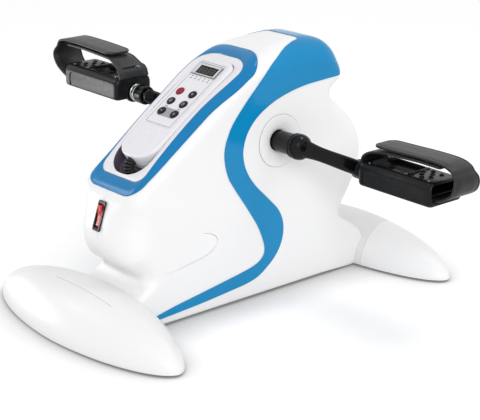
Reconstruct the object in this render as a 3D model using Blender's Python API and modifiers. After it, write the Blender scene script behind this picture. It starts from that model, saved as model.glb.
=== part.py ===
"""Motorised mini exercise bike: every piece as its own solid.

The frame is in metres with +Z up. +X is the rider's right-hand flank, -Y points at the rider's
console end and +Y at the far end. The origin is on the floor, under the middle of the whole bike.
"""

import math

import bmesh
import bpy
from mathutils import Euler, Matrix, Vector

MM = 0.001

# Clearances and walls
GAP = 0.3 * MM
WALL = 2.5 * MM
FOOT_WALL = 2.5 * MM

# Body: its side outline below is drawn 385.1 long and 309.4 high, and is stretched to these
BODY_HALF_WIDTH = 54 * MM
BODY_LENGTH = 385.1 * MM
BODY_HEIGHT = 309.4 * MM
OUTLINE_Y = BODY_LENGTH / 385.1
OUTLINE_Z = BODY_HEIGHT / 309.4
SKIRT_BOTTOM = 3 * MM
BAND_THICKNESS = 0.6 * MM

# Console: a frame on the slope, u runs up the slope and w stands off it
CONSOLE_Y = -138.6 * OUTLINE_Y
CONSOLE_Z = 193.0 * OUTLINE_Z
CONSOLE_SLOPE = math.atan2(82.95 * OUTLINE_Z, 116.6 * OUTLINE_Y)
PANEL_HALF_WIDTH = 39.5 * MM
PANEL_LOW = -30 * MM
PANEL_HIGH = 172 * MM
PANEL_FLARE = 0.11
PANEL_CREST = 9.0 * MM
PANEL_DROP = 7.2 * MM
PANEL_THICKNESS = 2.2 * MM
BEZEL_WIDTH = 9.6 * MM
BEZEL_END_WIDTH = 20 * MM
BEZEL_EDGE = 1.0 * MM

# Handset, in its own frame: s runs up the handset and h stands off its top face
HANDSET_TILT = math.radians(1.25)
HANDSET_RISE = 11.5 * MM
HANDSET_HALF_WIDTH = 31.5 * MM
HANDSET_LOW = -5 * MM
HANDSET_HIGH = 160 * MM
HANDSET_THICKNESS = 22.5 * MM
HANDSET_SPLIT = 12 * MM
HANDSET_WALL = 2 * MM
HANDSET_CHAMFER = 3 * MM
POCKET_CLEARANCE = 0.8 * MM
SCOOP_LENGTH = 20 * MM
LABEL_HALF_WIDTH = 23.2 * MM
LABEL_LOW = 46 * MM
LABEL_HIGH = 151.5 * MM
LABEL_THICKNESS = 0.5 * MM
DISPLAY_S = 138 * MM
DISPLAY_FRAME_WIDTH = 43.6 * MM
DISPLAY_FRAME_HEIGHT = 19.2 * MM
DISPLAY_WINDOW_WIDTH = 32.4 * MM
DISPLAY_WINDOW_HEIGHT = 12.6 * MM
DISPLAY_FRAME_RISE = 1.0 * MM
BUTTON_RADIUS = 5.65 * MM
BUTTON_COLLAR = 1.2 * MM
BUTTON_TRAVEL = 0.8 * MM
BUTTON_RISE = 1.2 * MM
BUTTON_X = 11.7 * MM
BUTTON_ROWS = (99.5 * MM, 82.7 * MM, 65.9 * MM)
BOARD_DEPTH = 6.5 * MM
BOARD_THICKNESS = 1.6 * MM
BOARD_LENGTH = HANDSET_HIGH - 42 * MM

# Curly cord from the handset's lower end into its well in the tray
CORD_RADIUS = 6 * MM
CORD_DEPTH = 9 * MM
CORD_BEND = 10.5 * MM
WELL_DEPTH = 58 * MM
WELL_CLEARANCE = 1.0 * MM

# Rocker switch on the belly
SWITCH_LENGTH = 36 * MM
SWITCH_WIDTH = 14 * MM
SWITCH_FLANGE = 1.6 * MM
SWITCH_DEPTH = 14 * MM
ROCKER_TILT = math.radians(9)
ROCKER_RISE = 2.2 * MM

# Feet
FRONT_FOOT_Y = -213.3 * MM
FRONT_FOOT_HALF_LENGTH = 172 * MM
FRONT_FOOT_HALF_WIDTH = 55.2 * MM
FRONT_FOOT_RISE = 56.4 * MM
REAR_FOOT_Y = 216.5 * MM
REAR_FOOT_HALF_LENGTH = 173 * MM
REAR_FOOT_HALF_WIDTH = 52 * MM
REAR_FOOT_RISE = 47.8 * MM
FOOT_BOTTOM = 3 * MM
FOOT_PLAN_POWER = 1.8
FOOT_DOME_POWER = 2.0
CAP_SEAM_X = 57 * MM
CAP_SEAM_ANGLE = math.radians(12.4)
PAD_RADIUS = 24 * MM
PAD_HEIGHT = 8 * MM

# Steel frame inside
CROSS_TUBE_HALF_LENGTH = 135 * MM
PAD_X = CROSS_TUBE_HALF_LENGTH - 17 * MM
CROSS_TUBE_DEPTH = 28 * MM
CROSS_TUBE_HEIGHT = 16 * MM
BEAM_WIDTH = 46 * MM
BEAM_HEIGHT = 14 * MM
POST_LENGTH = 34 * MM
POST_WIDTH = 30 * MM
SHELL_RADIUS = 21 * MM
SHELL_HALF_LENGTH = 30 * MM

# Crank
CRANK_Y = 36.0 * OUTLINE_Y
CRANK_Z = 193.9 * OUTLINE_Z
AXLE_RADIUS = 8 * MM
BEARING_RADIUS = 16 * MM
BEARING_WIDTH = 11 * MM
CRANK_LENGTH = 75.4 * MM
CRANK_ANGLE = math.radians(25.9)
SLEEVE_RADIUS = 12.6 * MM
SLEEVE_START = 57 * MM
EYE_RADIUS = 16 * MM
EYE_START = 86 * MM
EYE_END = 101 * MM
ARM_WIDTH = 19 * MM
ARM_THICKNESS = 13 * MM
PEDAL_EYE_RADIUS = 12 * MM
PEDAL_EYE_X = 127 * MM
PEDAL_EYE_WIDTH = 15 * MM
COVER_RADIUS = 32.4 * MM
COVER_THICKNESS = 1.6 * MM
COVER_DISH = 5 * MM
COVER_HOLE_CLEARANCE = 1.6 * MM

# Drive inside the body
PULLEY_X = 39 * MM
PULLEY_WIDTH = 8 * MM
PULLEY_RADIUS = 58 * MM
MOTOR_PULLEY_RADIUS = 12 * MM
BELT_THICKNESS = 2.2 * MM
MOTOR_Y = -62 * MM
MOTOR_Z = 84 * MM
MOTOR_RADIUS = 29 * MM
MOTOR_LENGTH = 58 * MM
POWER_MODULE_Y = -108 * MM
POWER_MODULE_SIZE = (70 * MM, 44 * MM, 26 * MM)
INLET_Y = 112 * MM
INLET_Z = 34 * MM
INLET_WIDTH = 24 * MM
INLET_HEIGHT = 17 * MM

# Pedals, measured from the spindle
PEDAL_INNER_X = 147.4 * MM
PEDAL_OUTER_X = 263.3 * MM
PEDAL_HALF_WIDTH = 28 * MM
PEDAL_BELOW = 9 * MM
PEDAL_ABOVE = 20 * MM
SPINDLE_RADIUS = 5.5 * MM
SPINDLE_CLEARANCE = 0.4 * MM
WASHER_RADIUS = 11 * MM
PEDAL_LENGTH = PEDAL_OUTER_X - PEDAL_INNER_X
WINDOW_DEPTH = 34 * MM
WINDOW_LIP = 4.5 * MM
WINDOW_ROOF = 2.5 * MM
WINDOW_SIDE = 3.2 * MM
STRAP_HALF_WIDTH = 18.5 * MM
STRAP_BASE_HALF_WIDTH = 22.5 * MM
STRAP_THICKNESS = 3 * MM
STRAP_REACH = PEDAL_OUTER_X + 32.7 * MM
# The two straps are buckled differently: how high each stands, and where its loose end stops
STRAP_TOP = {"left": 45.5 * MM, "right": 42.4 * MM}
STRAP_TIP_X = {"left": 167.5 * MM, "right": 162 * MM}


def finish_material(name, colour, roughness, metallic=0.0):
    """A Principled material of one colour."""
    material = bpy.data.materials.new(name)
    material.use_nodes = True
    shader = material.node_tree.nodes["Principled BSDF"]
    shader.inputs["Base Color"].default_value = (*colour, 1.0)
    shader.inputs["Roughness"].default_value = roughness
    shader.inputs["Metallic"].default_value = metallic
    material.diffuse_color = (*colour, 1.0)
    return material


def clear_scene():
    for thing in list(bpy.data.objects):
        bpy.data.objects.remove(thing, do_unlink=True)


def new_collection(name):
    collection = bpy.data.collections.new(name)
    bpy.context.scene.collection.children.link(collection)
    return collection


clear_scene()
PARTS = new_collection("mini_exercise_bike")
CUTTERS = new_collection("cutters")

WHITE = finish_material("white_shell", (0.86, 0.86, 0.88), 0.25)
BLUE = finish_material("blue_trim", (0.03, 0.26, 0.53), 0.2)
BLACK = finish_material("black_plastic", (0.02, 0.02, 0.022), 0.45)
RUBBER = finish_material("black_rubber", (0.015, 0.015, 0.016), 0.8)
STEEL = finish_material("bare_steel", (0.55, 0.56, 0.58), 0.3, 1.0)
PAINTED = finish_material("black_painted_steel", (0.03, 0.03, 0.032), 0.4)
CHROME = finish_material("chrome", (0.8, 0.8, 0.82), 0.12, 1.0)
RED = finish_material("red_plastic", (0.55, 0.02, 0.03), 0.3)
GREY = finish_material("grey_frame", (0.3, 0.31, 0.34), 0.4)
GLASS = finish_material("dark_window", (0.01, 0.01, 0.012), 0.08)
GREEN = finish_material("circuit_board", (0.02, 0.16, 0.07), 0.5)


def add_object(name, mesh, material, collection=None):
    """Put a mesh into the scene as an object with its one material."""
    thing = bpy.data.objects.new(name, mesh)
    (collection or PARTS).objects.link(thing)
    mesh.materials.clear()
    mesh.materials.append(material)
    mesh.shade_smooth()
    mesh.set_sharp_from_angle(angle=math.radians(32))
    return thing


def as_cutter(thing):
    """Hide a guide or cutter from the render, and keep it out of the parts."""
    for collection in list(thing.users_collection):
        collection.objects.unlink(thing)
    CUTTERS.objects.link(thing)
    thing.hide_render = True
    thing.display_type = "WIRE"
    return thing


def from_faces(name, points, faces, material):
    """A mesh from a loft's points and faces, with its normals turned outwards."""
    mesh = bpy.data.meshes.new(name)
    mesh.from_pydata([tuple(p) for p in points], [], faces)
    work = bmesh.new()
    work.from_mesh(mesh)
    bmesh.ops.recalc_face_normals(work, faces=work.faces)
    work.to_mesh(mesh)
    work.free()
    return add_object(name, mesh, material)


def boolean(target, cutter, operation="DIFFERENCE"):
    step = target.modifiers.new(operation.title(), "BOOLEAN")
    step.object = cutter
    step.operation = operation
    step.solver = "EXACT"


def bevel(target, width, segments=2, angle=40):
    step = target.modifiers.new("Bevel", "BEVEL")
    step.width = width
    step.segments = segments
    step.limit_method = "ANGLE"
    step.angle_limit = math.radians(angle)


def box(name, size, centre, material, rotation=(0, 0, 0)):
    mesh = bpy.data.meshes.new(name)
    work = bmesh.new()
    bmesh.ops.create_cube(work, size=1.0)
    bmesh.ops.scale(work, vec=Vector(size), verts=work.verts)
    work.to_mesh(mesh)
    work.free()
    thing = add_object(name, mesh, material)
    thing.location = centre
    thing.rotation_euler = rotation
    return thing


ALONG_X = (0, math.pi / 2, 0)
ALONG_Z = (0, 0, 0)


def rod(name, radius, length, centre, material, rotation=ALONG_X, segments=24, oval=1.0):
    """A cylinder along its own Z; oval narrows it across its own X."""
    mesh = bpy.data.meshes.new(name)
    work = bmesh.new()
    bmesh.ops.create_cone(
        work, cap_ends=True, segments=segments, radius1=radius, radius2=radius, depth=length
    )
    bmesh.ops.scale(work, vec=Vector((oval, 1, 1)), verts=work.verts)
    work.to_mesh(mesh)
    work.free()
    thing = add_object(name, mesh, material)
    thing.location = centre
    thing.rotation_euler = rotation
    return thing


def turned(name, profile, centre, material, rotation=ALONG_X, steps=32, ring=False):
    """A profile of (radius, height) pairs, outer side downwards, spun about its own Z."""
    mesh = bpy.data.meshes.new(name)
    points = [(radius, 0, height) for radius, height in profile]
    edges = [(i, i + 1) for i in range(len(points) - 1)]
    if ring:
        edges.append((len(points) - 1, 0))
    mesh.from_pydata(points, edges, [])
    thing = bpy.data.objects.new(name, mesh)
    PARTS.objects.link(thing)
    mesh.materials.append(material)
    spin = thing.modifiers.new("Screw", "SCREW")
    spin.steps = steps
    spin.render_steps = steps
    spin.use_merge_vertices = True
    spin.merge_threshold = 0.00001
    spin.use_smooth_shade = True
    thing.location = centre
    thing.rotation_euler = rotation
    return thing


def empty(name, location):
    """A joint's axis: what moves about it is parented here."""
    thing = bpy.data.objects.new(name, None)
    thing.empty_display_size = 20 * MM
    thing.location = location
    PARTS.objects.link(thing)
    return thing


def attach(child, parent):
    """Parent a piece that was placed in world coordinates, and keep its place."""
    child.parent = parent
    child.location = Vector(child.location) - parent.location


# The body's side outline, as points of (y, z, edge radius) in its own units, one millimetre at
# this size. The toe and neck follow the front foot, and the skirt follows the rear foot; the waist
# and the lower back share what is left between them and the rest.
def follow(points, shift, shares):
    return [(y + shift * share, z, r) for (y, z, r), share in zip(points, shares)]


def body_points():
    neck = FRONT_FOOT_Y / OUTLINE_Y + 213.3
    flare = REAR_FOOT_Y / OUTLINE_Y - 216.5
    low = SKIRT_BOTTOM / OUTLINE_Z
    toe = [(-168, low + 1, 3), (-173, low + 9, 4), (-176, 27, 5), (-180.5, 35, 3.2), (-180.5, 40.5, 2.6)]
    front = toe + [(-175, 43.6, 4), (-169.5, 47.2, 7), (-166, 53, 12)]
    waist = [(-164, 61, 22), (-171, 69, 26), (-186, 81, 29), (-195, 98, 36)]
    belly = [(-196.6, 116, 40), (-193, 132, 40), (-187.5, 146, 32), (-182.5, 158, 20)]
    slope = [(-175, 167.1, 13), (-138.6, 193.0, 12), (-80, 234.7, 12), (-22, 276, 13)]
    crown = [(0, 290.6, 16), (17, 299.6, 21), (36, 305.4, 28), (60, 308.4, 32)]
    hump = [(85, 309.4, 33), (106, 307.6, 32), (121, 302.5, 28), (132, 292.5, 24)]
    bulb = [(139, 278.5, 20), (141.8, 265, 14), (138.5, 254.5, 10), (130.5, 247.8, 10.5)]
    grip = [(124.6, 240.5, 12), (127.5, 231.5, 13), (139.5, 222, 16), (157, 208.5, 20)]
    back = [(173, 191.5, 22), (182.5, 171, 22), (184.5, 149, 22), (178, 125, 22)]
    lower_back = [(164, 103, 20), (150.5, 86, 17), (146, 75, 14)]
    skirt = [(153, 66.5, 11), (167, 57.5, 9), (180, 46, 8), (187.5, 33, 7), (188.5, 20, 6)]
    corner = [(184.5, low + 4, 4), (178, low, 3)]
    floor = [(110, low, 3), (20, low, 3), (-70, low, 3), (-150, low, 3)]
    front = follow(front, neck, [1] * len(front))
    waist = follow(waist, neck, (1, 0.85, 0.6, 0.35))
    belly = follow(belly, neck, (0.15, 0.05, 0, 0))
    lower_back = follow(lower_back, flare, (0.2, 0.45, 0.7))
    skirt = follow(skirt, flare, (0.9, 1, 1, 1, 1, 1))
    corner = follow(corner, flare, (1, 1))
    floor = follow(follow(floor, flare, (0.5, 0, 0, 0)), neck, (0, 0, 0.5, 1))
    upper = slope + crown + hump + bulb + grip + back
    return front + waist + belly + upper + lower_back + skirt + corner + floor


def closed_curve(points, steps):
    """A smooth closed curve through points, with a few steps between each two of them."""
    result = []
    count = len(points)
    for i in range(count):
        p0, p1, p2, p3 = (points[(i + k - 1) % count] for k in range(4))
        d1 = math.dist(p1[:2], p0[:2]) ** 0.5
        d2 = math.dist(p2[:2], p1[:2]) ** 0.5
        d3 = math.dist(p3[:2], p2[:2]) ** 0.5
        for k in range(steps):
            t = k / steps
            value = []
            for a0, a1, a2, a3 in zip(p0, p1, p2, p3):
                m1 = d2 * ((a1 - a0) / d1 - (a2 - a0) / (d1 + d2) + (a2 - a1) / d2)
                m2 = d2 * ((a2 - a1) / d2 - (a3 - a1) / (d2 + d3) + (a3 - a2) / d3)
                value.append(
                    (2 * t**3 - 3 * t**2 + 1) * a1
                    + (t**3 - 2 * t**2 + t) * m1
                    + (3 * t**2 - 2 * t**3) * a2
                    + (t**3 - t**2) * m2
                )
            result.append(tuple(value))
    return result


def body_outline(steps=1):
    """Outline samples of (y, z, edge radius, outward y, outward z), in metres."""
    curve = closed_curve(body_points(), steps)
    count = len(curve)
    samples = []
    for i, (y, z, r) in enumerate(curve):
        before = curve[i - 1]
        after = curve[(i + 1) % count]
        along = Vector((after[0] - before[0], after[1] - before[1])).normalized()
        samples.append((y * OUTLINE_Y, z * OUTLINE_Z, r * OUTLINE_Z, -along.y, along.x))
    return samples


def skin_loop(samples, angle, lift):
    """The loop of the skin where its edge rounding has turned by angle, from 0 at the crown."""
    loop = []
    for y, z, r, ny, nz in samples:
        off = (r + lift) * math.cos(angle) - r
        x = BODY_HALF_WIDTH - r + (r + lift) * math.sin(angle)
        loop.append(Vector((x, y + ny * off, z + nz * off)))
    return loop


EDGE_STEPS = 4


def skin_loops(samples, lift, start):
    """Loops from the split plane out over the rounded edge to the flat flank."""
    first = skin_loop(samples, 0, lift)
    loops = [[Vector((start, p.y, p.z)) for p in first]]
    for k in range(EDGE_STEPS + 1):
        loops.append(skin_loop(samples, math.pi / 2 * k / EDGE_STEPS, lift))
    return loops


def bridge(loops, flip=False, offset=0, closed=True):
    """Quads between consecutive loops of the same length."""
    faces = []
    count = len(loops[0])
    for j in range(len(loops) - 1):
        for i in range(count if closed else count - 1):
            a = offset + j * count + i
            b = offset + j * count + (i + 1) % count
            quad = (a, b, b + count, a + count)
            faces.append(quad[::-1] if flip else quad)
    return faces


def housing_half(name, side):
    """One half of the body: an open skin, thickened inwards."""
    loops = skin_loops(body_outline(), 0, GAP / 2)
    points = [Vector((side * p.x, p.y, p.z)) for loop in loops for p in loop]
    faces = bridge(loops, flip=side > 0)
    last = (len(loops) - 1) * len(loops[0])
    flank = tuple(range(last, last + len(loops[0])))
    faces.append(flank[::-1] if side > 0 else flank)
    mesh = bpy.data.meshes.new(name)
    mesh.from_pydata([tuple(p) for p in points], [], faces)
    thing = add_object(name, mesh, WHITE)
    shell = thing.modifiers.new("Solidify", "SOLIDIFY")
    shell.thickness = WALL
    shell.offset = -1
    return thing


def body_solid(name, lift):
    """The whole body as one solid, grown by lift: it cuts the feet."""
    samples = body_outline()
    right = skin_loops(samples, lift, 0)[1:]
    left = [[Vector((-p.x, p.y, p.z)) for p in loop] for loop in reversed(right)]
    loops = left + right
    points = [p for loop in loops for p in loop]
    count = len(samples)
    faces = bridge(loops)
    faces.append(tuple(range(count)))
    faces.append(tuple(range(len(points) - count, len(points))))
    return as_cutter(from_faces(name, points, faces, WHITE))


# The blue band's two edges in side view, in the outline's units, from the front foot up over the
# hump, and the far corner of the region that they close off above it.
BAND_FRONT_EDGE = (
    (-157.2, 16.4), (-127.6, 22.2), (-89.8, 28.0), (-51.1, 34.0), (-24.2, 38.4), (-6.5, 42.0),
    (4.8, 46.8), (11.1, 53.3), (12.5, 61.6), (9.5, 73.5), (0.5, 93.7), (-17.1, 120.9),
    (-32.8, 143.6), (-44.4, 162.5), (-50.1, 182.5), (-50.2, 198.4), (-46.0, 212.0), (-37.4, 227.8),
    (-18.9, 248.7), (1.1, 268.3), (19.7, 286.0), (35.0, 294.8), (52.0, 302.2), (70.0, 306.6), (86.0, 308.6),
)
BAND_REAR_EDGE = (
    (-152.9, 11.5), (-120.3, 13.2), (-82.3, 15.7), (-43.3, 19.3), (-16.1, 22.2), (1.7, 26.9),
    (16.3, 35.7), (30.2, 47.5), (39.2, 61.5), (43.0, 76.7), (41.5, 92.3), (33.7, 107.8),
    (17.2, 125.2), (-2.1, 144.6), (-14.1, 161.2), (-20.8, 177.8), (-21.6, 195.0), (-14.6, 213.8),
    (1.2, 230.6), (24.8, 243.6), (52.0, 252.0), (78.1, 256.4), (104.6, 258.2), (128.0, 259.4), (139.0, 260.0),
)

BAND_REGION = ((88.0, 340.0), (200.0, 340.0), (200.0, 260.5))


def band(name, side):
    """The blue S-shaped trim on one flank, carried over the hump to the middle."""
    samples = body_outline()
    inner = skin_loops(samples, GAP, GAP / 2)
    outer = skin_loops(samples, GAP + BAND_THICKNESS, GAP / 2)
    count = len(samples)
    loops = list(reversed(inner)) + outer
    points = [Vector((side * p.x, p.y, p.z)) for loop in loops for p in loop]
    faces = bridge(loops)
    faces.append(tuple(range(count)))
    faces.append(tuple(range(len(points) - count, len(points))))
    thing = from_faces(name, points, faces, BLUE)
    edge = BAND_FRONT_EDGE + BAND_REGION + tuple(reversed(BAND_REAR_EDGE))
    outline = [(y * OUTLINE_Y, z * OUTLINE_Z) for y, z in edge]
    reach = side * (BODY_HALF_WIDTH + 26 * MM)
    prism = extruded(name + "_region", outline, min(0, reach), max(0, reach), BLUE)
    boolean(thing, as_cutter(prism), "INTERSECT")
    return thing


def extruded(name, outline, start, end, material):
    """A side-view outline of (y, z), drawn out along X."""
    count = len(outline)
    points = [(x, y, z) for x in (start, end) for y, z in outline]
    faces = [tuple(range(count)), tuple(range(count, 2 * count))]
    for i in range(count):
        j = (i + 1) % count
        faces.append((i, j, j + count, i + count))
    return from_faces(name, points, faces, material)


# The console's frame
SLOPE_AXIS = Vector((0, math.cos(CONSOLE_SLOPE), math.sin(CONSOLE_SLOPE)))
SLOPE_NORMAL = Vector((0, -math.sin(CONSOLE_SLOPE), math.cos(CONSOLE_SLOPE)))
CONSOLE_ORIGIN = Vector((0, CONSOLE_Y, CONSOLE_Z))
HANDSET_SLOPE = CONSOLE_SLOPE - HANDSET_TILT
HANDSET_AXIS = Vector((0, math.cos(HANDSET_SLOPE), math.sin(HANDSET_SLOPE)))
HANDSET_NORMAL = Vector((0, -math.sin(HANDSET_SLOPE), math.cos(HANDSET_SLOPE)))
HANDSET_ORIGIN = CONSOLE_ORIGIN + SLOPE_NORMAL * HANDSET_RISE


def console_point(x, u, w):
    return CONSOLE_ORIGIN + Vector((x, 0, 0)) + SLOPE_AXIS * u + SLOPE_NORMAL * w


def handset_point(x, s, h):
    return HANDSET_ORIGIN + Vector((x, 0, 0)) + HANDSET_AXIS * s + HANDSET_NORMAL * h


def smooth_step(value):
    t = min(max(value, 0), 1)
    return t * t * (3 - 2 * t)


def rows_of(half_width, low, high, low_radius, high_radius, flare=0.0, sides=8, arc=5):
    """Half widths and places along a strip with rounded ends, from its low end to its high end."""
    rows = []
    for k in range(arc + 1):
        a = math.pi / 2 * k / arc
        rows.append((half_width - low_radius * (1 - math.sin(a)), low + low_radius * (1 - math.cos(a))))
    start = low + low_radius
    end = high - high_radius
    for k in range(1, sides):
        rows.append((half_width, start + (end - start) * k / sides))
    for k in range(arc + 1):
        a = math.pi / 2 * k / arc
        rows.append((half_width - high_radius * (1 - math.cos(a)), end + high_radius * math.sin(a)))
    return [(x * (1 + flare * smooth_step((u - 80 * MM) / (60 * MM))), u) for x, u in rows]


def strip_solid(name, layers, place, material):
    """A solid of stacked layers, each a pair of rows and a height function, bottom layer first."""
    points = []
    for rows, height in layers:
        points += [place(x, u, height(x, u)) for x, u in rows]
        points += [place(-x, u, height(-x, u)) for x, u in rows]
    count = len(layers[0][0])
    faces = []
    size = 2 * count
    top = (len(layers) - 1) * size
    for i in range(count - 1):
        faces.append((i, i + 1, count + i + 1, count + i))
        faces.append((top + i, top + i + 1, top + count + i + 1, top + count + i))
    for layer in range(len(layers) - 1):
        a = layer * size
        b = a + size
        for i in range(count - 1):
            faces.append((a + i, a + i + 1, b + i + 1, b + i))
            faces.append((a + count + i, a + count + i + 1, b + count + i + 1, b + count + i))
        faces.append((a, a + count, b + count, b))
        faces.append((a + count - 1, a + size - 1, b + size - 1, b + count - 1))
    return from_faces(name, points, faces, material)


def level(value):
    return lambda x, u: value


def panel_height(x, u):
    """The console panel's crowned top, over the slope."""
    middle = (PANEL_LOW + PANEL_HIGH) / 2
    half = (PANEL_HIGH - PANEL_LOW) / 2
    return PANEL_CREST - PANEL_DROP * ((u - middle) / half) ** 2


def skin_profile():
    """The body's crown under the console, as (u, w, edge radius), running up the slope."""
    profile = []
    for y, z, r, ny, nz in body_outline(steps=3):
        rel = Vector((0, y, z)) - CONSOLE_ORIGIN
        u = rel.dot(SLOPE_AXIS)
        w = rel.dot(SLOPE_NORMAL)
        if PANEL_LOW - 30 * MM < u < PANEL_HIGH + 43 * MM and w > -25 * MM:
            profile.append((u, w, r))
    return sorted(profile)


SKIN_PROFILE = skin_profile()


def skin_height(x, u):
    """How high the body's skin stands over the console's plane."""
    w, r = SKIN_PROFILE[0][1:]
    for (u0, w0, r0), (u1, w1, r1) in zip(SKIN_PROFILE, SKIN_PROFILE[1:]):
        if u0 <= u <= u1 and u1 > u0:
            t = (u - u0) / (u1 - u0)
            w = w0 + (w1 - w0) * t
            r = r0 + (r1 - r0) * t
    over = abs(x) - (BODY_HALF_WIDTH - r)
    if over <= 0:
        return w
    over = min(over, r)
    return w - (r - math.sqrt(r * r - over * over))


PANEL_LOW_RADIUS = 14 * MM
PANEL_HIGH_RADIUS = 26 * MM


def panel_rows(grow):
    return rows_of(
        PANEL_HALF_WIDTH + grow, PANEL_LOW - grow, PANEL_HIGH + grow,
        PANEL_LOW_RADIUS + grow, PANEL_HIGH_RADIUS + grow, PANEL_FLARE,
    )


def bezel():
    """The blue rim: it climbs from the body's shoulder to the panel's edge."""
    inner = panel_rows(GAP)
    outer = rows_of(
        PANEL_HALF_WIDTH + BEZEL_WIDTH, PANEL_LOW - BEZEL_END_WIDTH, PANEL_HIGH + BEZEL_END_WIDTH,
        PANEL_LOW_RADIUS + 6 * MM, PANEL_HIGH_RADIUS + 10 * MM, PANEL_FLARE / 2,
    )
    loop_in = inner + [(-x, u) for x, u in reversed(inner)]
    loop_out = outer + [(-x, u) for x, u in reversed(outer)]
    under = 5
    sections = []
    for (xi, ui), (xo, uo) in zip(loop_in, loop_out):
        section = [console_point(xi, ui, panel_height(xi, ui))]
        middle = panel_height(xi, ui) * 0.52 + skin_height(xo, uo) * 0.48 + 1.2 * MM
        section.append(console_point(xi * 0.5 + xo * 0.5, ui * 0.5 + uo * 0.5, middle))
        section.append(console_point(xo, uo, skin_height(xo, uo) + GAP + BEZEL_EDGE))
        for k in range(under + 1):
            t = k / under
            x = xo + (xi - xo) * t
            u = uo + (ui - uo) * t
            section.append(console_point(x, u, skin_height(x, u) + 1.5 * GAP))
        sections.append(section)
    count = len(sections[0])
    points = [p for section in sections for p in section]
    faces = []
    for j in range(len(sections)):
        k = (j + 1) % len(sections)
        for i in range(count):
            n = (i + 1) % count
            faces.append((j * count + i, j * count + n, k * count + n, k * count + i))
    return from_faces("console_bezel", points, faces, BLUE)


HANDSET_LOW_RADIUS = 26 * MM
HANDSET_HIGH_RADIUS = 15 * MM
SCOOP_RADIUS = 29 * MM


def handset_rows(inset, low=HANDSET_LOW, high=HANDSET_HIGH):
    return rows_of(
        HANDSET_HALF_WIDTH - inset, low + inset, high - inset,
        HANDSET_LOW_RADIUS - inset, HANDSET_HIGH_RADIUS - inset, sides=6,
    )


def tray():
    """The white panel round the handset, with the pocket that holds it and the cord's well."""
    plate = strip_solid(
        "console_tray",
        [
            (panel_rows(-GAP), lambda x, u: panel_height(x, u) - PANEL_THICKNESS),
            (panel_rows(-GAP), panel_height),
        ],
        console_point,
        WHITE,
    )
    floor = -HANDSET_THICKNESS - GAP
    wall = HANDSET_WALL

    def pocket_rows(grow):
        return rows_of(
            HANDSET_HALF_WIDTH + POCKET_CLEARANCE + grow,
            HANDSET_LOW - SCOOP_LENGTH - grow,
            HANDSET_HIGH + POCKET_CLEARANCE + grow,
            SCOOP_RADIUS + grow, HANDSET_HIGH_RADIUS + POCKET_CLEARANCE + grow,
        )

    tub = strip_solid(
        "tray_tub",
        [(pocket_rows(wall), level(floor - wall)), (pocket_rows(wall), level(floor + 12 * MM))],
        handset_point,
        WHITE,
    )
    rim = strip_solid(
        "tray_rim",
        [
            (pocket_rows(wall), level(floor + 11 * MM)),
            (pocket_rows(wall), lambda x, s: panel_under_handset(s) - 1.0 * MM),
        ],
        handset_point,
        WHITE,
    )
    pocket = strip_solid(
        "tray_pocket",
        [(pocket_rows(0), level(floor)), (pocket_rows(0), level(30 * MM))],
        handset_point,
        WHITE,
    )
    well_s = HANDSET_LOW - CORD_BEND
    well_centre = handset_point(0, well_s, floor - WELL_DEPTH / 2)
    upright = (HANDSET_SLOPE, 0, 0)
    well = rod("well_tube", CORD_RADIUS + WELL_CLEARANCE + wall, WELL_DEPTH, well_centre, WHITE, upright)
    bore_centre = handset_point(0, well_s, floor - WELL_DEPTH / 2 + 1 * MM)
    bore = rod("well_bore", CORD_RADIUS + WELL_CLEARANCE, WELL_DEPTH + 8 * MM, bore_centre, WHITE, upright)
    for piece in (tub, rim, well):
        boolean(plate, as_cutter(piece), "UNION")
    for piece in (pocket, bore):
        boolean(plate, as_cutter(piece))
    return plate


def panel_under_handset(s):
    """The panel's height in the handset's frame, at a place along the handset."""
    point = handset_point(0, s, 0) - CONSOLE_ORIGIN
    u = point.dot(SLOPE_AXIS)
    return panel_height(0, u) - point.dot(SLOPE_NORMAL)


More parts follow.
